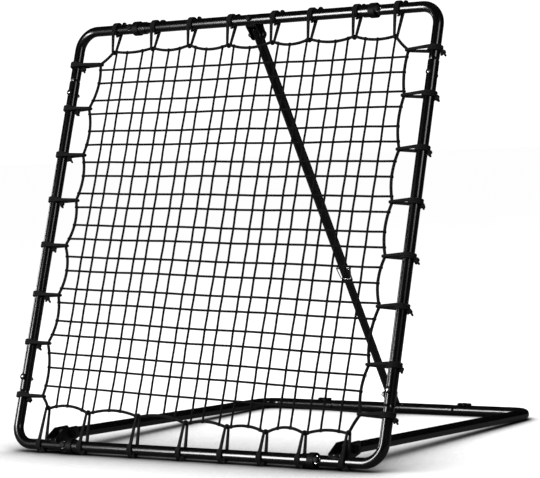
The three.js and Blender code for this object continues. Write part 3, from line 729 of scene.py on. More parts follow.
@dataclass
class Workshop:
    """Holds the built materials, and hangs each finished piece on its body."""

    nodes: dict[str, bpy.types.Object]
    materials: dict[str, bpy.types.Material] = field(default_factory=dict)

    def mix_finishes(self) -> None:
        """Builds the patterns' node groups and every finish once."""
        for pattern in Pattern:
            pattern.build()
        self.materials = {finish.name: finish.material() for finish in FINISHES}

    def dress(self, node: str, finish: Finish) -> None:
        """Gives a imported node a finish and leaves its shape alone."""
        for slot in self.nodes[node].material_slots:
            slot.material = self.materials[finish.name]
        log.info("dressed %s in %s", node, finish.name)

    def place(
        self, name: str, finish: Finish, home: Home, *surfaces: Surface, node: str = ""
    ) -> None:
        """Makes a piece, finishes it and hangs it on its body.

        Args:
            name: Name of the piece.
            finish: The finish that it wears.
            home: The axes that its surfaces are given in, and its body.
            *surfaces: Its closed surfaces.
            node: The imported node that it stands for, if any.
        """
        piece = mesh_of(name, [home.put(surface) for surface in surfaces])
        piece.data.materials.append(self.materials[finish.name])
        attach(piece, home.body)
        if node:
            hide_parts(node)
        log.info("%s: %d faces on %s", name, len(piece.data.polygons), home.body)

    def fasten(self, name: str, finish: Finish, home: Home, bolt: Surface, nut: Surface) -> None:
        """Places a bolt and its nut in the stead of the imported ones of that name."""
        for kind, surface in (("bolt", bolt), ("nut", nut)):
            self.place(f"{kind}_{name}", finish, home, surface, node=f"{name}_{kind}")


# ---- Fasteners ----


@dataclass(frozen=True)
class Fastener:
    """A hexagon bolt with its nut, washer and cap; flats is half the width across them."""

    radius: float
    flats: float
    head: float
    nut: float
    pitch: float = 0.5
    thread: float = 0.22
    cap_room: float = 0.4
    cap_wall: float = 1.6

    @property
    def corner(self) -> float:
        """Half the width across the hexagon's corners."""
        return self.flats / math.cos(TAU / 12.0)

    def bolt(self, start: Point, axis: Point, grip: float) -> Surface:
        """Makes the bolt: chamfered head, shank and threaded end.

        The thread is a zigzag of the radius with the height.

        Args:
            start: The point under the head.
            axis: Direction from the head to the threaded end.
            grip: Length under the head.

        Returns:
            One closed surface.
        """
        head, corner, flats = self.head, self.corner, self.flats
        rows = [
            (-head, corner * 0.55, flats), (-head, corner * 0.80, flats),
            (-head * 0.93, corner * 0.90, flats), (-head * 0.80, corner, flats),
            (-head * 0.10, corner, flats), (0.0, corner * 0.96, flats * 0.97),
            (0.0, self.radius),
        ]
        turns = np.arange(grip - 2.0 * self.nut, grip - 0.6, self.pitch)
        zigzag = self.radius - self.thread * (np.arange(len(turns)) % 2)
        tip = [(grip - 0.5, self.radius), (grip, self.radius - 0.5)]
        return turned([*rows, *zip(turns, zigzag), *tip], start, axis)

    def nut_ring(self, seat: Point, axis: Point) -> Surface:
        """Makes a nut with chamfered corners and the round collar of its locking ring.

        Args:
            seat: The point where the nut bears.
            axis: Direction from the seat to the nut's free end.

        Returns:
            One closed surface with a bore.
        """
        nut, corner, flats, bore = self.nut, self.corner, self.flats, self.radius - PLAY
        profile = [
            (0.0, bore), (0.0, corner * 0.93, flats), (nut * 0.08, corner, flats),
            (nut * 0.66, corner, flats), (nut * 0.76, corner * 0.90, flats),
            (nut * 0.78, flats * 0.93), (nut * 0.94, flats * 0.90), (nut, flats * 0.82),
            (nut, bore),
        ]
        return turned(profile, seat, axis, ends=Ends.JOINED)

    def washer(self, seat: Point, axis: Point, outer: float, thick: float) -> Surface:
        """Makes a plain washer on a seat."""
        bore = self.radius + PLAY
        profile = [
            (0.0, bore), (0.0, outer), (thick * 0.7, outer), (thick, outer - thick * 0.3),
            (thick, bore),
        ]
        return turned(profile, seat, axis, ends=Ends.JOINED)

    def cap(self, seat: Point, axis: Point, height: float) -> Surface:
        """Makes a thin moulded cap over the head, hollow under its crown.

        Args:
            seat: The point where its rim bears.
            axis: Direction from the seat to its crown.
            height: Height of the crown.

        Returns:
            One closed surface.
        """
        inner = self.corner + self.cap_room
        outer = inner + self.cap_wall
        profile = [
            (height - 1.2, 0.4), (height - 1.3, inner * 0.8), (height * 0.6, inner),
            (0.0, inner), (0.0, outer), (height * 0.45, outer), (height * 0.75, outer * 0.92),
            (height * 0.92, outer * 0.74), (height, outer * 0.40),
        ]
        return turned(profile, seat, axis)


M6 = Fastener(radius=3.0, flats=5.0, head=4.0, nut=6.0)
M8 = Fastener(radius=4.0, flats=6.5, head=5.3, nut=8.0)


@dataclass(frozen=True)
class Assembly:
    """A sub-assembly: the workshop that finishes its pieces, and the places it is built at."""

    shop: Workshop
    places: Places


# ---- Net frame ----


class Hand(Enum):
    """The two sides of the part: the word in a node's name and the sign of X."""

    LEFT = ("left", -1.0)
    RIGHT = ("right", 1.0)

    def __init__(self, title: str, sign: float) -> None:
        """Keeps the word and the sign."""
        self.title, self.sign = title, sign


class Level(Enum):
    """The bottom and the top of the net frame: word, share of its height, way to its middle."""

    BOTTOM = ("bottom", 0.0, 1.0)
    TOP = ("top", 1.0, -1.0)

    def __init__(self, title: str, share: float, inward: float) -> None:
        """Keeps the word, the share and the way."""
        self.title, self.share, self.inward = title, share, inward


CORNERS = tuple((level, hand, f"{level.title}_{hand.title}") for level in Level for hand in Hand)


@dataclass(frozen=True)
class FrameTubes(Assembly):
    """Square frame of four corners, two rails and two uprights, in its own leaning axes."""

    half: float = 500.0
    tube: float = 12.5
    corner: float = 12.0
    wall: float = 1.5
    bend: float = 45.0
    rail_seam: float = 178.5
    upright_seam: float = 125.0
    swage: float = 6.0
    spigot: float = 50.0
    slip: float = 0.3
    gap: float = 0.15
    bolt_at: float = 154.0

    def height(self, level: Level) -> float:
        """Returns the height of a level's rail on the frame's axes."""
        return 2.0 * self.half * level.share

    def corner_tube(self, level: Level, hand: Hand) -> Surface:
        """Makes a bent corner: open at the rail, necked into the upright."""
        x, z = hand.sign * self.half, self.height(level)
        seam_x = x - hand.sign * (self.rail_seam - self.gap)
        tip_z = z + level.inward * (self.upright_seam + self.spigot)
        line = Centreline([(seam_x, 0.0, z), (x, 0.0, z), (x, 0.0, tip_z)], self.bend)
        seam = line.length - self.spigot
        necked = self.tube - self.wall - self.slip
        stations = [
            (0.0, self.corner), (seam - self.swage, self.corner),
            (seam - self.swage * 0.4, (self.corner + necked) / 2.0), (seam, necked),
            (line.length, necked),
        ]
        return tube(line, stations, self.wall)

    def build(self) -> None:
        """Makes the eight tubes of the frame."""
        reach = self.half - self.rail_seam + self.spigot
        neck = (self.corner - self.wall - self.slip, self.spigot, self.swage)
        made = {f"corner_{name}": self.corner_tube(level, hand) for level, hand, name in CORNERS}
        for level in Level:
            ends = [(way * reach, 0.0, self.height(level)) for way in (-1.0, 1.0)]
            made[level.title + "_rail"] = straight_tube(ends, self.tube, self.wall, neck)
        for hand in Hand:
            heights = (self.upright_seam, 2.0 * self.half - self.upright_seam)
            ends = [(hand.sign * self.half, 0.0, z) for z in heights]
            made["upright_" + hand.title] = straight_tube(ends, self.tube, self.wall)
        for node, surface in made.items():
            self.shop.place("tube_" + node, POWDER_COAT, self.places.net_frame, surface, node=node)


@dataclass(frozen=True)
class Collars(Assembly):
    """Moulded sleeves over the four rail joints, each with a slim coated lip towards the middle."""

    frame: FrameTubes
    length: float = 35.0
    outer: float = 17.0
    bore: float = 12.9
    lip: float = 18.5
    step: float = 2.3
    round: float = 0.9
    split: float = 0.05

    def ring(self, start: Point, way: float, span: Station, outer: float) -> Surface:
        """Makes one ring of a sleeve.

        Args:
            start: The sleeve's middle.
            way: Which way along X the rail's middle lies.
            span: The ring's first and last place from the sleeve's middle.
            outer: Its outside radius.

        Returns:
            One closed surface with a bore.
        """
        low, high = span
        chamfer = ((0.0, -1.0), (0.3, -0.3), (1.0, 0.0))
        near = [(low + self.round * s, outer + self.round * r) for s, r in chamfer]
        far = [(high - self.round * s, outer + self.round * r) for s, r in reversed(chamfer)]
        flat = [(low + self.round + SUPPORT, outer), (high - self.round - SUPPORT, outer)]
        profile = [(low, self.bore), *near, *flat, *far, (high, self.bore)]
        return turned(profile, start, (way, 0.0, 0.0), around=64, ends=Ends.JOINED)

    def build(self) -> None:
        """Makes the four sleeves and their lips."""
        half = self.length / 2.0
        seam, home = half - self.lip, self.places.net_frame
        for level, hand, corner in CORNERS:
            x = hand.sign * (self.frame.half - self.frame.rail_seam)
            start, node = (x, 0.0, self.frame.height(level)), "collar_" + corner
            body = self.ring(start, -hand.sign, (-half, seam), self.outer)
            self.shop.place("sleeve_" + node, MOULDING, home, body, node=node)
            lip = self.ring(start, -hand.sign, (seam + self.split, half), self.outer - self.step)
            self.shop.place("lip_" + node, POWDER_COAT, home, lip)


@dataclass(frozen=True)
class FrameBolts(Assembly):
    """Through bolts of the joints: capped on the rails, in cup washers on the uprights."""

    frame: FrameTubes
    washer: float = 8.5
    washer_thick: float = 1.0
    cap: float = 5.4
    cap_seat: float = 1.35
    cup: float = 7.6
    cup_depth: float = 3.4
    button: float = 3.6
    spare: float = 4.0
    bracket_seat: float = 16.75
    DOME: ClassVar[tuple[Station, ...]] = (
        (1.3, 0.35), (1.26, 0.6), (1.15, 0.82), (0.9, 0.97), (0.4, 1.0),
    )

    def build(self) -> None:
        """Makes the eight bolted joints and the bolt of the stay's bracket."""
        frame = self.frame
        for level, hand, corner in CORNERS:
            z = frame.height(level)
            x = hand.sign * (frame.half - frame.bolt_at)
            self.rail_front(f"rail_{corner}", x, z)
            self.joint(f"rail_{corner}", x, z, frame.corner)
            x, z = hand.sign * frame.half, z + level.inward * frame.bolt_at
            self.upright_front(f"upright_{corner}", x, z)
            self.joint(f"upright_{corner}", x, z, frame.tube)
        self.bracket_bolt()

    def bracket_bolt(self) -> None:
        """Makes the capped bolt that holds the stay's bracket behind the top rail."""
        home, tube_r, z = self.places.net_frame, self.frame.tube, self.frame.height(Level.TOP)
        front = (0.0, -tube_r - SEAT, z)
        bolt = M6.bolt(front, BACK, tube_r + self.bracket_seat + M6.nut + self.spare)
        nut = M6.nut_ring((0.0, self.bracket_seat + SEAT, z), BACK)
        self.shop.fasten("stay_bracket", BLACK_ZINC, home, bolt, nut)
        self.shop.place("cap_stay_bracket", MOULDING, home, M6.cap(front, FRONT, self.cap))

    def rail_front(self, name: str, x: float, z: float) -> None:
        """Makes the plated washer and the cap in front of a rail joint."""
        home, radius = self.places.net_frame, self.frame.corner
        washer = M6.washer((x, -radius - SEAT, z), FRONT, self.washer, self.washer_thick)
        self.shop.place("washer_" + name, ZINC, home, washer)
        cap = M6.cap((x, -radius - self.cap_seat, z), FRONT, self.cap)
        self.shop.place("cap_" + name, MOULDING, home, cap)

    def upright_front(self, name: str, x: float, z: float) -> None:
        """Makes the dished cup washer in front of an upright joint."""
        depth, bore = self.cup_depth, M6.radius + PLAY
        profile = [
            (0.0, bore), (0.0, self.cup), (depth * 0.55, self.cup), (depth, self.cup - 1.4),
            (depth, self.button + 0.9), (depth * 0.5, self.button + 0.3), (depth * 0.3, bore),
        ]
        cup = turned(profile, (x, -self.frame.tube - SEAT, z), FRONT, ends=Ends.JOINED)
        self.shop.place("cup_" + name, MOULDING, self.places.net_frame, cup)

    def joint(self, name: str, x: float, z: float, radius: float) -> None:
        """Makes the button-headed bolt and the nut of one joint through a tube, head to the front.

        Args:
            name: The joint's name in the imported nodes.
            x: Its place across the frame.
            z: Its height.
            radius: Outside radius of the tube that it clamps.
        """
        grip = 2.0 * radius + M6.nut + self.spare
        dome = [(-self.cup_depth * h, self.button * r) for h, r in self.DOME]
        shank = [(-self.cup_depth * 0.35, M6.radius), (grip - 0.5, M6.radius)]
        profile = [*dome, *shank, (grip, M6.radius - 0.5)]
        bolt = turned(profile, (x, -radius - SEAT, z), BACK)
        nut = M6.nut_ring((x, radius + SEAT, z), BACK)
        self.shop.fasten(name, ZINC, self.places.net_frame, bolt, nut)


# ---- Net, border and ties ----


class Side(Enum):
    """The four sides in order round the frame: word, and X and Z of the way to the net."""

    BOTTOM = ("bottom", 0.0, 1.0)
    RIGHT = ("right", -1.0, 0.0)
    TOP = ("top", 0.0, -1.0)
    LEFT = ("left", 1.0, 0.0)

    def __init__(self, title: str, x: float, z: float) -> None:
        """Keeps the word and the way to the net."""
        self.title, self.inward = title, np.array((x, 0.0, z))


@dataclass(frozen=True)
class Lacing(Assembly):
    """The border rope and the elastic ties that stretch it into the frame.

    Each row of a side gives where the tie stands along that side, how far inside the tube's centre
    it holds the rope, and how deep the rope dips before the next tie.  Hand lacing is uneven, so
    every tie has its own row.  A knot stands across, back and up from its tie, and sways across by
    its last number.
    """

    half: float = 500.0
    rope: float = 3.4
    cord: float = 2.55
    tube: float = 12.5
    width: float = 10.0
    pinch: float = 0.7
    loose_end: float = 0.3
    steps: int = 16
    round_tube: int = 22
    round_rope: int = 9
    knot_size: float = 1.75
    knot_sway: float = 0.2
    knot_points: int = 44
    knot_depth: float = 1.15
    knot_turn: float = 0.9
    sway_turn: float = 1.7
    sway_start: float = 0.4
    tail: float = 12.0
    tail_sway: float = 4.0
    tail_turn: float = 2.3
    tail_spread: float = 0.5
    tail_lean: float = 0.35
    tail_apart: float = 2.0
    tail_fall: float = 0.25
    tail_drop: float = 5.0
    rope_sides: int = 12
    cord_sides: int = 10
    knot_sides: int = 8
    TAPER: ClassVar[tuple[float, ...]] = (1.0, 1.0, 1.0, 1.0, 1.0, 1.05, 0.8)
    LOOP_GUIDE: ClassVar[tuple[float, ...]] = (0.3, 1.0, 0.2)
    TAIL_GUIDE: ClassVar[tuple[float, ...]] = (0.1, 1.0, 0.0)
    KNOT_AT: ClassVar[dict[Side, tuple[float, float, float, float]]] = {
        Side.LEFT: (20.0, 2.0, -9.0, 1.0),
        Side.RIGHT: (17.0, 3.0, -9.0, 1.0),
        Side.TOP: (10.0, 9.0, 14.5, 2.0),
        Side.BOTTOM: (8.0, -6.0, -13.5, 1.0),
    }
    rows: dict[Side, tuple[tuple[float, float, float], ...]] = field(
        default_factory=lambda: {
            Side.BOTTOM: (
                (-420, 83, 12), (-299, 76, 11), (-154, 74, 10), (-19, 64, 9),
                (94, 60, 9), (198, 53, 13), (298, 55, 8), (409, 60, 2),
            ),
            Side.RIGHT: (
                (102, 68, 9), (208, 63, 10), (333, 56, 11), (442, 58, 10),
                (561, 58, 10), (678, 58, 9), (799, 63, 6), (902, 67, 2),
            ),
            Side.TOP: (
                (395, 63, 8), (287, 57, 10), (167, 56, 10), (66, 56, 11),
                (-56, 56, 11), (-170, 50, 9), (-278, 51, 6), (-393, 54, 2),
            ),
            Side.LEFT: (
                (916, 71, 11), (807, 57, 11), (692, 62, 11), (581, 63, 13),
                (471, 53, 15), (352, 56, 13), (237, 48, 11), (112, 58, 2),
            ),
        }
    )

    def seat(self, side: Side, along: float) -> Array:
        """Returns where a tie crosses its tube's centre line."""
        if side.inward[0]:
            return np.array((-side.inward[0] * self.half, 0.0, along))
        return np.array((along, 0.0, (1.0 - side.inward[2]) * self.half))

    def border(self) -> Array:
        """Returns the rope's closed line: from tie to tie it dips to the net as 4 d t (1 - t)."""
        ties = [(side, *row) for side, rows in self.rows.items() for row in rows]
        held = np.array([self.seat(side, at) + inset * side.inward for side, at, inset, _ in ties])
        dips = np.array([tie[-1] for tie in ties], float)[:, None]
        chord = np.roll(held, -1, axis=0) - held
        left = unit(chord[:, ::-1] * (-1.0, 0.0, 1.0))
        t = np.arange(self.steps) / self.steps
        bow = (4.0 * dips * t * (1.0 - t))[:, :, None]
        line = held[:, None, :] + chord[:, None, :] * t[None, :, None] + bow * left[:, None, :]
        return line.reshape(-1, 3)

    def tie(self, side: Side, along: float, inset: float, index: int) -> list[Surface]:
        """Makes one tie: cord coiled on the tube, passed twice round the rope, and knotted.

        Seen along the tube, a turn is the belt round two circles: the tube's, of radius R, and the
        rope's, of radius r, at distance D.  Its straight legs touch both at the angle
        acos((R - r) / D) from the line between them.  The turns lie side by side on the tube and
        draw together at the rope.

        Args:
            side: The side that it is on.
            along: Its place along the side.
            inset: From the tube's centre to the rope's.
            index: Its number, which sets its small differences.

        Returns:
            The cord, the knot and the tails.
        """
        seat, beside = self.seat(side, along), np.cross(side.inward, BACK)
        big, small = self.tube + self.cord, self.rope + self.cord
        touch = math.acos((big - small) / inset)
        spans = (
            (self.loose_end, TAU - touch), (-touch, touch), (touch, TAU - touch), (-touch, touch),
            (touch, TAU - self.loose_end),
        )
        belt = []
        for turn, (start, end) in enumerate(spans):
            radius, steps, centre = big, self.round_tube, 0.0
            if turn % 2:
                radius, steps, centre = small, self.round_rope, inset
            angle = np.linspace(start, end, steps)
            belt.append(np.stack([centre + radius * np.cos(angle), radius * np.sin(angle)], axis=1))
        belt = np.concatenate(belt)
        on_cord = lengths_along(belt)
        shift = self.width * (on_cord / on_cord[-1] - 0.5)
        shift = shift * (1.0 - self.pinch * np.clip(belt[:, 0] / inset, 0.0, 1.0))
        points = seat + belt @ np.array([side.inward, BACK]) + shift[:, None] * beside
        cord = sweep(points, tangents_of(points), beside, self.cord, self.cord_sides)
        return [cord, *self.knot(side, seat, index)]

    def knot(self, side: Side, seat: Array, index: int) -> list[Surface]:
        """Makes a tie's knot and its two tails beside the tube.

        The knot is a trefoil: (sin t + 2 sin 2t, cos t - 2 cos 2t, sin 3t), turned a little more
        from tie to tie.  A tail starts at the knot and bends over as its length squared.

        Args:
            side: The side that the tie is on.
            seat: Where the tie crosses its tube's centre line.
            index: The tie's number.

        Returns:
            The knot and the tails.
        """
        sway = math.sin(self.sway_turn * index + self.sway_start)
        across, back, up, share = self.KNOT_AT[side]
        centre = seat + (across + share * sway, back, up)
        t = np.arange(self.knot_points) * TAU / self.knot_points
        x, z = np.sin(t) + 2.0 * np.sin(2.0 * t), np.cos(t) - 2.0 * np.cos(2.0 * t)
        cos, sin = math.cos(self.knot_turn * index), math.sin(self.knot_turn * index)
        depth = self.knot_depth * np.sin(3.0 * t)
        shape = np.stack([x * cos - z * sin, depth, x * sin + z * cos], axis=1)
        loop = centre + (self.knot_size + self.knot_sway * sway) * shape
        directions, sides = tangents_of(loop, closed=True), self.knot_sides
        made = [sweep(loop, directions, self.LOOP_GUIDE, self.cord, sides, Ends.JOINED)]
        radii = self.cord * np.array(self.TAPER)
        s = np.linspace(0.0, 1.0, len(radii))
        for way in (-1.0, 1.0):
            long = self.tail + self.tail_sway * math.sin(self.tail_turn * index + way)
            lean = self.tail_spread * way + self.tail_lean * sway
            run = (long * math.sin(lean), self.tail_apart * way, -self.tail_fall * long * way)
            tail = centre + s[:, None] * run - (s * s)[:, None] * (0.0, 0.0, self.tail_drop)
            made.append(sweep(tail, tangents_of(tail), self.TAIL_GUIDE, radii, sides))
        return made

    def build(self) -> None:
        """Makes the border rope and the thirty-two ties."""
        home, line = self.places.net_frame, self.border()
        directions = tangents_of(line, closed=True)
        rope = sweep(line, directions, BACK, self.rope, self.rope_sides, Ends.JOINED)
        self.shop.place("border_rope", BORDER_ROPE, home, rope, node="net_border")
        index = 0
        for side, rows in self.rows.items():
            for number, (along, inset, _) in enumerate(rows, 1):
                index += 1
                tie = self.tie(side, along, inset, index)
                self.shop.place(f"tie_{side.title}_{number}", ELASTIC, home, *tie)


@dataclass(frozen=True)
class NetMesh(Assembly):
    """The square mesh: twenty-one strings each way, woven over and under, hitched to the border.

    The net hangs a little askew: its uprights turn about a height and its rows about an X.
    """

    lacing: Lacing
    strings: int = 21
    pitch_x: float = 39.0
    pitch_z: float = 38.7
    pair_x: float = 3.1
    pair_z: float = -2.4
    middle_x: float = 0.4
    middle_z: float = 508.0
    askew_x: float = 0.013
    askew_z: float = 0.034
    askew_fade: float = 900.0
    turn_x: float = 95.0
    turn_z: float = 830.0
    reach_x: tuple[float, float] = (-440.0, 440.0)
    reach_z: tuple[float, float] = (75.0, 935.0)
    twine: float = 2.6
    weave: float = 0.5
    ripple: float = 0.7
    ripple_reach: float = 445.0
    ripple_fade: int = 6
    wave_x: tuple[float, float] = (61.0, 143.0)
    wave_z: tuple[float, float] = (57.0, 131.0)
    wave_shift: float = 1.3
    samples: int = 84
    twine_sides: int = 7
    hitch_sides: int = 10

    def stands(self, centre: float, pitch: float, pair: float) -> Array:
        """Returns where the strings stand: even, but each second one drawn to its neighbour."""
        k = np.arange(self.strings)
        even = centre + pitch * (k - (self.strings - 1) / 2.0)
        return even + pair * np.where(k % 2 == 0, 1.0, -1.0)

    def askew(self, place: float, along: Array, upward: bool) -> Array:
        """Returns where a string stands across itself, at its places along itself."""
        if upward:
            return place + self.askew_x * (along - self.turn_z)
        fade = 1.0 - 0.5 * (place / self.askew_fade) ** 2
        return place + self.askew_z * fade * (self.turn_x - along)

    def ruffle(self, x: Array, z: Array) -> tuple[Array, Array]:
        """Shifts points of the net a little, as slow sines that die away towards the border."""
        fade_x, fade_z = (
            np.clip(1.0 - (away / self.ripple_reach) ** self.ripple_fade, 0.0, 1.0)
            for away in (x, z - self.lacing.half)
        )
        size = self.ripple * fade_x * fade_z
        (a, b), (c, d) = self.wave_x, self.wave_z
        dx, dz = np.sin(z / a + x / b), np.sin(x / c - z / d + self.wave_shift)
        return x + size * dx, z + size * dz

    def string(self, ends: Sequence[float], place: float, index: int, upward: bool) -> Surface:
        """Makes one string between its two places on the border.

        Across the net it rises and falls as cos(pi s / pitch), so that it passes over one string
        and under the next.

        Args:
            ends: Where it starts and ends along its own direction.
            place: Where it stands across it.
            index: Its number.
            upward: Whether it runs up the net or across it.

        Returns:
            The string's surface.
        """
        s = np.linspace(*ends, self.samples)
        across = self.askew(place, s, upward)
        x, z = self.ruffle(*((across, s) if upward else (s, across)))
        centre = self.middle_z if upward else self.middle_x
        pitch = self.pitch_z if upward else self.pitch_x
        flip = (-1.0) ** (index + int(upward))
        y = self.weave * flip * np.cos(math.pi * (s - centre) / pitch)
        points = np.stack([x, y, z], axis=1)
        return sweep(points, tangents_of(points), BACK, self.twine, self.twine_sides)

    def borders(self) -> dict[Side, Array]:
        """Returns each side's stretch of the rope's line, with two dips more at both ends."""
        line = self.lacing.border()
        per_side, more = len(line) // len(Side), 2 * self.lacing.steps
        return {
            side: np.roll(line, more - k * per_side, axis=0)[: per_side + 2 * more]
            for k, side in enumerate(Side)
        }

    def build(self) -> None:
        """Makes the strings and, at their ends, small hitches wrapped round the border rope."""
        rope, borders = self.lacing.rope, self.borders()
        half = [(-3.0, rope * 0.9), (-2.5, rope + 0.6), (-1.0, rope + 1.1)]
        hitch = [*half, *[(-at, r) for at, r in reversed(half)]]
        ways = (
            (self.middle_x, self.pitch_x, self.pair_x, self.reach_z, (Side.BOTTOM, Side.TOP)),
            (self.middle_z, self.pitch_z, self.pair_z, self.reach_x, (Side.LEFT, Side.RIGHT)),
        )
        surfaces: list[Surface] = []
        for (centre, pitch, pair, reach, sides), upward in zip(ways, (True, False)):
            axis = 0 if upward else 2
            for index, place in enumerate(self.stands(centre, pitch, pair)):
                across = self.askew(place, np.array(reach), upward)
                ends = []
                for side, at in zip(sides, across):
                    run = borders[side][np.argsort(borders[side][:, axis])]
                    ends.append(float(np.interp(at, run[:, axis], run[:, 2 - axis])))
                surfaces.append(self.string(ends, place, index, upward))
                for at, end in zip(across, ends):
                    spot = (at, 0.0, end) if upward else (end, 0.0, at)
                    way = RIGHT if upward else UP
                    surfaces.append(turned(hitch, spot, way, self.hitch_sides))
        self.shop.place("net_mesh", NET_TWINE, self.places.net_frame, *surfaces, node="net")


# ---- Ground base ----


@dataclass(frozen=True)
class GroundBase(Assembly):
    """The U-shaped base: two bent sides, a rear rail, end plugs, rear screws, caps and pads."""

    tube: float = 12.5
    wall: float = 1.5
    arm_x: float = 387.5
    bend: float = 45.0
    nose: float = 16.0
    seam_x: float = 180.0
    gap: float = 0.15
    screw_x: float = 205.0
    spigot: float = 52.0
    swage: float = 6.0
    slip: float = 0.3
    plug: float = 2.8
    cap: float = 5.4
    pad_height: float = 5.4
    pad_reach: tuple[float, float] = (8.1, 16.5)
    pad_arc: tuple[float, float] = (62.0, 118.0)
    pad_edge: float = 1.2
    SIDE_GUIDE: ClassVar[tuple[float, ...]] = (0.0, 0.05, 1.0)

    def hinge(self, hand: Hand, beyond: float = 0.0) -> Array:
        """Returns a side's hinge from the rear rail's middle, or a place beyond it."""
        reach = self.places.base_reach
        return reach + beyond * unit(reach) + (hand.sign * self.arm_x, 0.0, 0.0)

    def side(self, hand: Hand) -> Surface:
        """Makes one side: from the rear seam round the bend and up to the hinge."""
        seam = (hand.sign * (self.seam_x + self.gap), 0.0, 0.0)
        corner = (hand.sign * self.arm_x, 0.0, 0.0)
        line = Centreline([seam, corner, self.hinge(hand, self.nose)], self.bend)
        stations = [(0.0, self.tube), (line.length, self.tube)]
        return tube(line, stations, self.wall, self.SIDE_GUIDE)

    def end_plug(self, hand: Hand) -> Surface:
        """Makes the domed plug in the front end of a side."""
        bore, plug = self.tube - self.wall - 0.2, self.plug
        profile = [
            (-6.0, bore - 0.8), (-5.4, bore), (0.0, bore), (0.0, self.tube),
            (plug * 0.45, self.tube), (plug * 0.80, self.tube - 1.2),
            (plug * 0.97, self.tube - 4.0), (plug, self.tube - 8.0),
        ]
        return turned(profile, self.hinge(hand, self.nose + SEAT), self.places.base_reach)

    def pads(self) -> list[Surface]:
        """Makes the two low moulded pads that lie on the rear rail beside a screw's cap."""
        low, high = self.tube + SEAT, self.tube + self.pad_height
        near, far = self.pad_reach
        band = np.concatenate([arc(high, *self.pad_arc, 12), arc(low, *self.pad_arc[::-1], 12)])
        return [plate(band, *span, self.pad_edge) for span in ((near, far), (-far, -near))]

    def build(self) -> None:
        """Makes the base's tubes, plugs and fasteners."""
        home, place = self.places.base, self.shop.place
        reach = self.seam_x + self.spigot
        neck = (self.tube - self.wall - self.slip, self.spigot, self.swage)
        ends = [(-reach, 0.0, 0.0), (reach, 0.0, 0.0)]
        rail = straight_tube(ends, self.tube, self.wall, neck, UP)
        place("tube_rear_rail", POWDER_COAT, home, rail, node="rear_rail")
        for hand in Hand:
            word, across = hand.title, np.array((hand.sign * self.screw_x, 0.0, 0.0))
            place("tube_base_" + word, POWDER_COAT, home, self.side(hand), node="base_side_" + word)
            place("plug_" + word, MOULDING, home, self.end_plug(hand), node="arm_plug_" + word)
            top = across + (0.0, 0.0, self.tube + SEAT)
            screw = M6.bolt(top, DOWN, self.tube)
            place("screw_rear_" + word, ZINC, home, screw, node=f"rear_{word}_screw")
            place("cap_rear_" + word, MOULDING, home, M6.cap(top, UP, self.cap))
            beside = replace(home, origin=home.origin + across)
            place("pads_rear_" + word, MOULDING, beside, *self.pads())
            self.shop.dress(f"rear_{word}_nut", ZINC)


# ---- Stay, brackets and pivots ----


@dataclass(frozen=True)
class Stay(Assembly):
    """The telescopic stay in its own axes: the top pivot at the origin, its tubes down -Z."""

    outer: float = 11.4
    inner: float = 9.8
    wall: float = 1.2
    outer_length: float = 676.0
    overlap: float = 300.0
    top_end: float = 18.0
    foot_end: float = 11.0
    ring: float = 6.0

    def build(self) -> None:
        """Makes both tubes and the ring on the outer one's end."""
        top, foot = self.overlap - self.outer_length, -self.places.stay_length - self.foot_end
        spans = {
            "outer": (self.top_end, -self.outer_length, self.outer),
            "inner": (top, foot, self.inner),
        }
        for word, (top, bottom, radius) in spans.items():
            home = replace(self.places.stay, body="stay_" + word)
            made = straight_tube([(0.0, 0.0, top), (0.0, 0.0, bottom)], radius, self.wall)
            self.shop.place("tube_stay_" + word, POWDER_COAT, home, made, node="stay_" + word)
        bore, ring = self.inner + 0.2, self.ring
        profile = [
            (0.0, bore), (0.0, self.outer), (ring * 0.75, self.outer), (ring, self.outer - 1.0),
            (ring, bore),
        ]
        made = turned(profile, (0.0, 0.0, -self.outer_length - SEAT), DOWN, ends=Ends.JOINED)
        self.shop.place("ring_stay", MOULDING, self.places.stay, made, node="stay_end_ring")


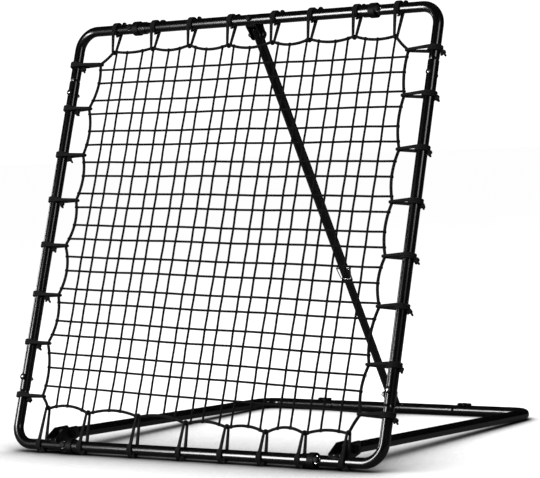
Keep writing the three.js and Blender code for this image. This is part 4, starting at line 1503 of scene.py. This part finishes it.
@dataclass(frozen=True)
class LockPin(Assembly):
    """The lock pin through the stay and the wire bail that keeps it in.

    The bail's wire runs from behind the pin's head to the front, over an elbow down to the end of
    its loop, across the stay and back up to a hook on the pin's tail.
    """

    stay: Stay
    pin: float = 3.4
    head: float = 5.4
    head_length: float = 7.0
    tail: float = 9.0
    wire: float = 1.25
    wire_sides: int = 16
    wire_tip: float = 0.5
    wire_taper: float = 0.6
    bend: float = 4.5
    bend_steps: int = 8
    behind: float = 5.5
    front: float = -11.7
    elbow: tuple[float, float, float] = (24.0, -8.0, -4.0)
    near: float = 20.0
    across: float = 8.0
    loop: float = 0.1
    drop: float = 27.0
    hook_in: float = 2.4
    hook: float = -5.72
    WIRE_GUIDE: ClassVar[tuple[float, ...]] = (1.0, 1.0, -1.0)

    def build(self) -> None:
        """Makes the pin and its bail, in upright axes at the pin's place on the stay."""
        home = Home("lock_pin", central("lock_pin"))
        seat, tail = self.stay.outer + SEAT, -(self.stay.outer + self.tail)
        profile = [
            (tail, self.pin - 1.2), (tail + 0.5, self.pin - 0.4), (tail + 1.4, self.pin),
            (seat, self.pin), (seat, self.head - 0.6), (seat + 0.5, self.head),
            (seat + self.head_length - 0.8, self.head), (seat + self.head_length, self.head - 0.9),
        ]
        pin = turned(profile, (0.0, 0.0, 0.0), RIGHT)
        self.shop.place("pin_lock", ZINC, home, pin, node="lock_pin")
        in_head = seat + self.head_length / 2.0
        corners = [
            (in_head, self.behind, 0.0), (in_head, self.front, 0.0), self.elbow,
            (self.near, self.loop, -self.drop), (-self.across, self.loop, -self.drop),
            (tail + self.hook_in, self.hook, 0.0),
        ]
        route = Centreline(corners, self.bend)
        total = route.length
        tips = [0.0, self.wire_tip, total - self.wire_tip, total]
        along = np.unique(np.append(route.bends(self.bend_steps), tips))
        at_tip = (along == 0.0) | (along == total)
        radii = np.where(at_tip, self.wire * self.wire_taper, self.wire)
        wire = sweep(*route.at(along), self.WIRE_GUIDE, radii, self.wire_sides)
        bail = replace(home, body="pin_bail")
        self.shop.place("wire_bail", SPRING_WIRE, bail, wire, node="pin_bail")


@dataclass(frozen=True)
class Brackets(Assembly):
    """Bent-plate brackets: two cheeks joined by a strap that seats on its tube.

    Angles are in degrees about the tube's centre line, from +Y towards +Z.
    """

    base: GroundBase
    stay: Stay
    plate: float = 2.5
    strap: float = 3.5
    slack: float = 0.6
    edge: float = 0.5
    strap_edge: float = 0.1
    hinge_bore: float = 12.75
    tube_bore: float = 13.25
    hinge_outline: tuple[Station, ...] = (
        (-14.0, 13.0), (25.0, 36.5), (74.0, 36.5), (74.0, 9.0), (13.5, -6.5),
    )
    hinge_round: float = 7.0
    hinge_front: float = 12.0
    hinge_arc: tuple[float, float] = (-26.0, 125.0)
    rivet: float = 2.5
    rivet_sunk: float = 0.4
    rivet_at: float = 116.0
    stay_arc: tuple[float, float] = (-116.0, 14.0)
    foot_arc: tuple[float, float] = (52.0, 171.0)
    stay_eye: float = 13.0
    foot_eye: float = 11.5

    def pair(self, cheek: Array, half: float, bore: float, span: Station) -> list[Surface]:
        """Makes both cheeks and the strap.

        Args:
            cheek: The cheeks' outline about the tube's centre line.
            half: Half the clear width between the cheeks.
            bore: Radius of the strap's seat.
            span: The strap's first and last angle.

        Returns:
            Three closed surfaces.
        """
        outer, inner = arc(bore + self.strap, *span, ARC_STEPS), arc(bore, *span[::-1], ARC_STEPS)
        cheeks = ((-half - self.plate, -half), (half, half + self.plate))
        band = plate(np.concatenate([outer, inner]), -half, half, self.strap_edge)
        return [*(plate(cheek, *at, self.edge) for at in cheeks), band]

    def eye(self, pivot: Array, radius: float, span: Station) -> Array:
        """Returns a cheek's outline from its strap to a round eye at the pivot."""
        seat = self.tube_bore + self.strap
        way = 1 if pivot[1] > 0.0 else -1
        return np.concatenate(
            [
                arc(self.tube_bore, span[1], span[0], ARC_STEPS),
                arc(seat, span[0], span[0] + 1.0, 1),
                arc(radius, 0.0, way * 180.0, EYE_STEPS, pivot)[::way],
                arc(seat, span[1] - 1.0, span[1], 1),
            ]
        )

    def rivet_head(self) -> Surface:
        """Makes the domed head of the rivet through a hinge bracket's strap."""
        away = arc(1.0, self.rivet_at, self.rivet_at, 0)[0]
        seat = (self.hinge_bore + self.strap - self.rivet_sunk) * away
        dome = ((0.0, 1.0), (0.5, 0.98), (0.95, 0.8), (1.3, 0.5), (1.45, 0.15))
        return turned([(h, self.rivet * r) for h, r in dome], (0.0, *seat), (0.0, *away))

    def hinge_cheek(self) -> Array:
        """Returns a hinge cheek's outline: rounded corners, and the seat cut out for its tube."""
        outline = eased(self.hinge_outline, self.hinge_round)
        clear = (outline[:, 0] > self.hinge_front) | (outline[:, 1] > self.hinge_bore + SEAT)
        return np.concatenate([outline[clear], arc(self.hinge_bore, *self.hinge_arc, ARC_STEPS)])

    def build(self) -> None:
        """Makes the four brackets."""
        cheek, half = self.hinge_cheek(), self.base.tube + self.slack
        for hand in Hand:
            across = (hand.sign * self.base.arm_x, 0.0, 0.0)
            home = Home("net_frame", self.places.net_frame.origin + across)
            parts = self.pair(cheek, half, self.hinge_bore, self.hinge_arc)
            node = "hinge_bracket_" + hand.title
            self.shop.place("plates_" + node, PLATE_COAT, home, *parts, node=node)
            self.shop.place("rivet_" + node, ZINC, home, self.rivet_head())
        top, at, stay = Home("net_frame", central("top_rail")), self.places, self.stay
        for node, home, pivot, tube_r, eye, span in (
            ("stay_bracket", top, at.top_pivot, stay.outer, self.stay_eye, self.stay_arc),
            ("stay_foot_bracket", at.base, at.foot, stay.inner, self.foot_eye, self.foot_arc),
        ):
            cheek = self.eye((pivot.origin - home.origin)[1:], eye, span)
            parts = self.pair(cheek, tube_r + self.slack, self.tube_bore, span)
            self.shop.place("plates_" + node, PLATE_COAT, home, *parts, node=node)


@dataclass(frozen=True)
class Pivots(Assembly):
    """The bolts that the hinges and the stay turn on, heads to the right."""

    brackets: Brackets
    cap: float = 7.0
    spare: float = 3.5

    def build(self) -> None:
        """Makes the four pivots, those of the hinges with caps on their heads."""
        base, stay, places = self.brackets.base, self.brackets.stay, self.places
        for hand in Hand:
            home = replace(places.base, origin=places.base.origin + base.hinge(hand))
            half = self.joint("hinge_" + hand.title, ZINC, home, base.tube)
            cap = M8.cap((half, 0.0, 0.0), RIGHT, self.cap)
            self.shop.place("cap_hinge_" + hand.title, MOULDING, home, cap)
        self.joint("stay_pivot", BLACK_ZINC, places.top_pivot, stay.outer)
        self.joint("foot", ZINC, places.foot, stay.inner)

    def joint(self, name: str, finish: Finish, home: Home, tube_r: float) -> float:
        """Makes a pivot bolt along X with its nut.

        Args:
            name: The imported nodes' common name.
            finish: The finish of both.
            home: Its axes at the middle of the pivot.
            tube_r: Radius of the tube between the bracket's cheeks.

        Returns:
            The distance from the middle to the seat of the bolt's head.
        """
        cheek = tube_r + self.brackets.slack + self.brackets.plate
        seat = cheek + SEAT
        bolt = M8.bolt((seat, 0.0, 0.0), LEFT, 2.0 * cheek + M8.nut + self.spare)
        nut = M8.nut_ring((-seat, 0.0, 0.0), LEFT)
        self.shop.fasten(name, finish, home, bolt, nut)
        return seat


# ---- Studio ----


@dataclass(frozen=True)
class Studio:
    """Pale floor, soft lights and the camera, which looks against its back; lengths in metres."""

    places: Places
    width: int = 540
    focal_px: float = 2242.2
    off_x_px: float = 13.11
    off_y_px: float = 9.39
    eye: tuple[float, float, float] = (2.9701, -3.8772, 0.7033)
    right: tuple[float, float, float] = (0.8215923617, 0.5685896447, -0.0411315823)
    up: tuple[float, float, float] = (0.0097641503, 0.0581051275, 0.9982627187)
    back: tuple[float, float, float] = (0.5699918004, -0.820566564, 0.0421869342)
    sensor: float = 36.0
    clip_end: float = 200.0
    floor_reach: float = 60.0
    floor_tone: float = 0.88
    floor_bounce: float = 0.08
    # Reach and power of the painted shade that darkens the floor's tone under the parts.
    painted_shade_reach: float = 0.5
    painted_shade: float = 3.6
    surround: float = 1.12
    steep: float = 0.95

    @staticmethod
    def facing(right: Point, up: Point, back: Point, place: Point) -> Matrix:
        """Returns the matrix of an object with these three axes at a place."""
        turn = np.eye(4)
        turn[:3] = np.stack([right, up, back, place], axis=1)
        return Matrix(turn.tolist())

    def camera(self) -> None:
        """Makes the camera; its eye is measured from the bottom rail's place on the floor."""
        data = bpy.data.cameras.new("camera")
        data.sensor_fit = "HORIZONTAL"
        data.sensor_width = self.sensor
        data.lens = self.focal_px / self.width * self.sensor
        data.shift_x = -self.off_x_px / self.width
        data.shift_y = -self.off_y_px / self.width
        data.clip_end = self.clip_end
        eye = np.array(self.eye) + (0.0, self.places.net_frame.origin[1] * MM, 0.0)
        camera = linked("camera", data)
        camera.matrix_world = self.facing(self.right, self.up, self.back, eye)
        bpy.context.scene.camera = camera

    def floor(self) -> None:
        """Makes the plain pale floor, with painted shade under what stands on it."""
        reach, mesh = self.floor_reach, bpy.data.meshes.new("floor")
        corners = [(x * reach, y * reach, 0.0) for x, y in ((-1, -1), (1, -1), (1, 1), (-1, 1))]
        mesh.from_pydata(corners, [], [(0, 1, 2, 3)])
        floor = linked("floor", mesh)
        made = bpy.data.materials.new("floor")
        made.use_nodes = True
        graph = Graph(made.node_tree)
        seen = graph.node("LightPath").outputs["Is Camera Ray"]
        # Painted shade: for camera rays the floor's tone darkens by ambient occlusion raised to a
        # power.
        near = graph.feed(graph.node("AmbientOcclusion", samples=16), Distance=self.painted_shade_reach)
        painted_shade = graph.math("POWER", near.outputs["AO"], self.painted_shade)
        tones = [(tone, tone, tone, 1.0) for tone in (0.0, self.floor_tone, self.floor_bounce)]
        tone = graph.mix(seen, tones[2], graph.mix(painted_shade, *tones[:2]))
        shader = graph.found("BSDF_PRINCIPLED")
        graph.feed(shader, Base_Color=tone, Roughness=0.9, Specular_IOR_Level=0.0)
        mesh.materials.append(made)

    def area(
        self, name: str, place: Point, aim: Point, size: Station, power: float, shine: bool = True
    ) -> None:
        """Makes a soft rectangular light.

        Args:
            name: Name of the light.
            place: Its middle.
            aim: The point that it faces.
            size: Its width and height.
            power: Its power in watts.
            shine: Whether it only shines in reflections, or else only lights surfaces.
        """
        data = bpy.data.lights.new(name, "AREA")
        data.shape = "RECTANGLE"
        data.size, data.size_y = size
        data.energy = power
        light = linked(name, data)
        light.visible_diffuse = not shine
        light.visible_glossy = shine
        back = unit(np.array(place) - np.array(aim))
        side = unit(np.cross(UP if abs(back[2]) < self.steep else BACK, back))
        light.matrix_world = self.facing(side, np.cross(back, side), back, place)

    def lights(self) -> None:
        """Makes a wide overhead light, three reflected softboxes and a white surround."""
        heart = (0.0, 0.0, 0.5)
        self.area("overhead", (0.0, 0.4, 4.0), (0.0, 0.2, 0.0), (4.0, 4.0), 110.0, shine=False)
        self.area("key", (-1.45, -2.9, 0.75), heart, (0.8, 1.5), 120.0)
        self.area("left", (-3.5, -0.3, 0.8), heart, (0.9, 0.9), 26.0)
        self.area("right", (2.8, -1.3, 2.0), heart, (0.8, 1.0), 16.0)
        scene, world = bpy.context.scene, bpy.data.worlds.new("surround")
        scene.world = world
        world.use_nodes = True
        graph = Graph(world.node_tree)
        graph.feed(graph.found("BACKGROUND"), Color=(1.0, 1.0, 1.0, 1.0), Strength=self.surround)
        world.cycles_visibility.glossy = False
        scene.view_settings.view_transform = "Standard"
        scene.view_settings.look = "None"

    def build(self) -> None:
        """Makes the camera, the floor and the lights."""
        self.camera()
        self.floor()
        self.lights()


def main() -> None:
    """Builds the studio and every sub-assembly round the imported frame."""
    logging.basicConfig(level=logging.INFO, format="%(message)s")
    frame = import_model()
    places = Places.read()
    Studio(places).build()
    shop = Workshop(frame["nodes"])
    shop.mix_finishes()
    tubes, lacing = FrameTubes(shop, places), Lacing(shop, places)
    base, stay = GroundBase(shop, places), Stay(shop, places)
    brackets = Brackets(shop, places, base, stay)
    for made in (
        tubes, Collars(shop, places, tubes), FrameBolts(shop, places, tubes),
        lacing, NetMesh(shop, places, lacing),
        base, stay, LockPin(shop, places, stay), brackets, Pivots(shop, places, brackets),
    ):
        made.build()


if __name__ == "__main__":
    main()
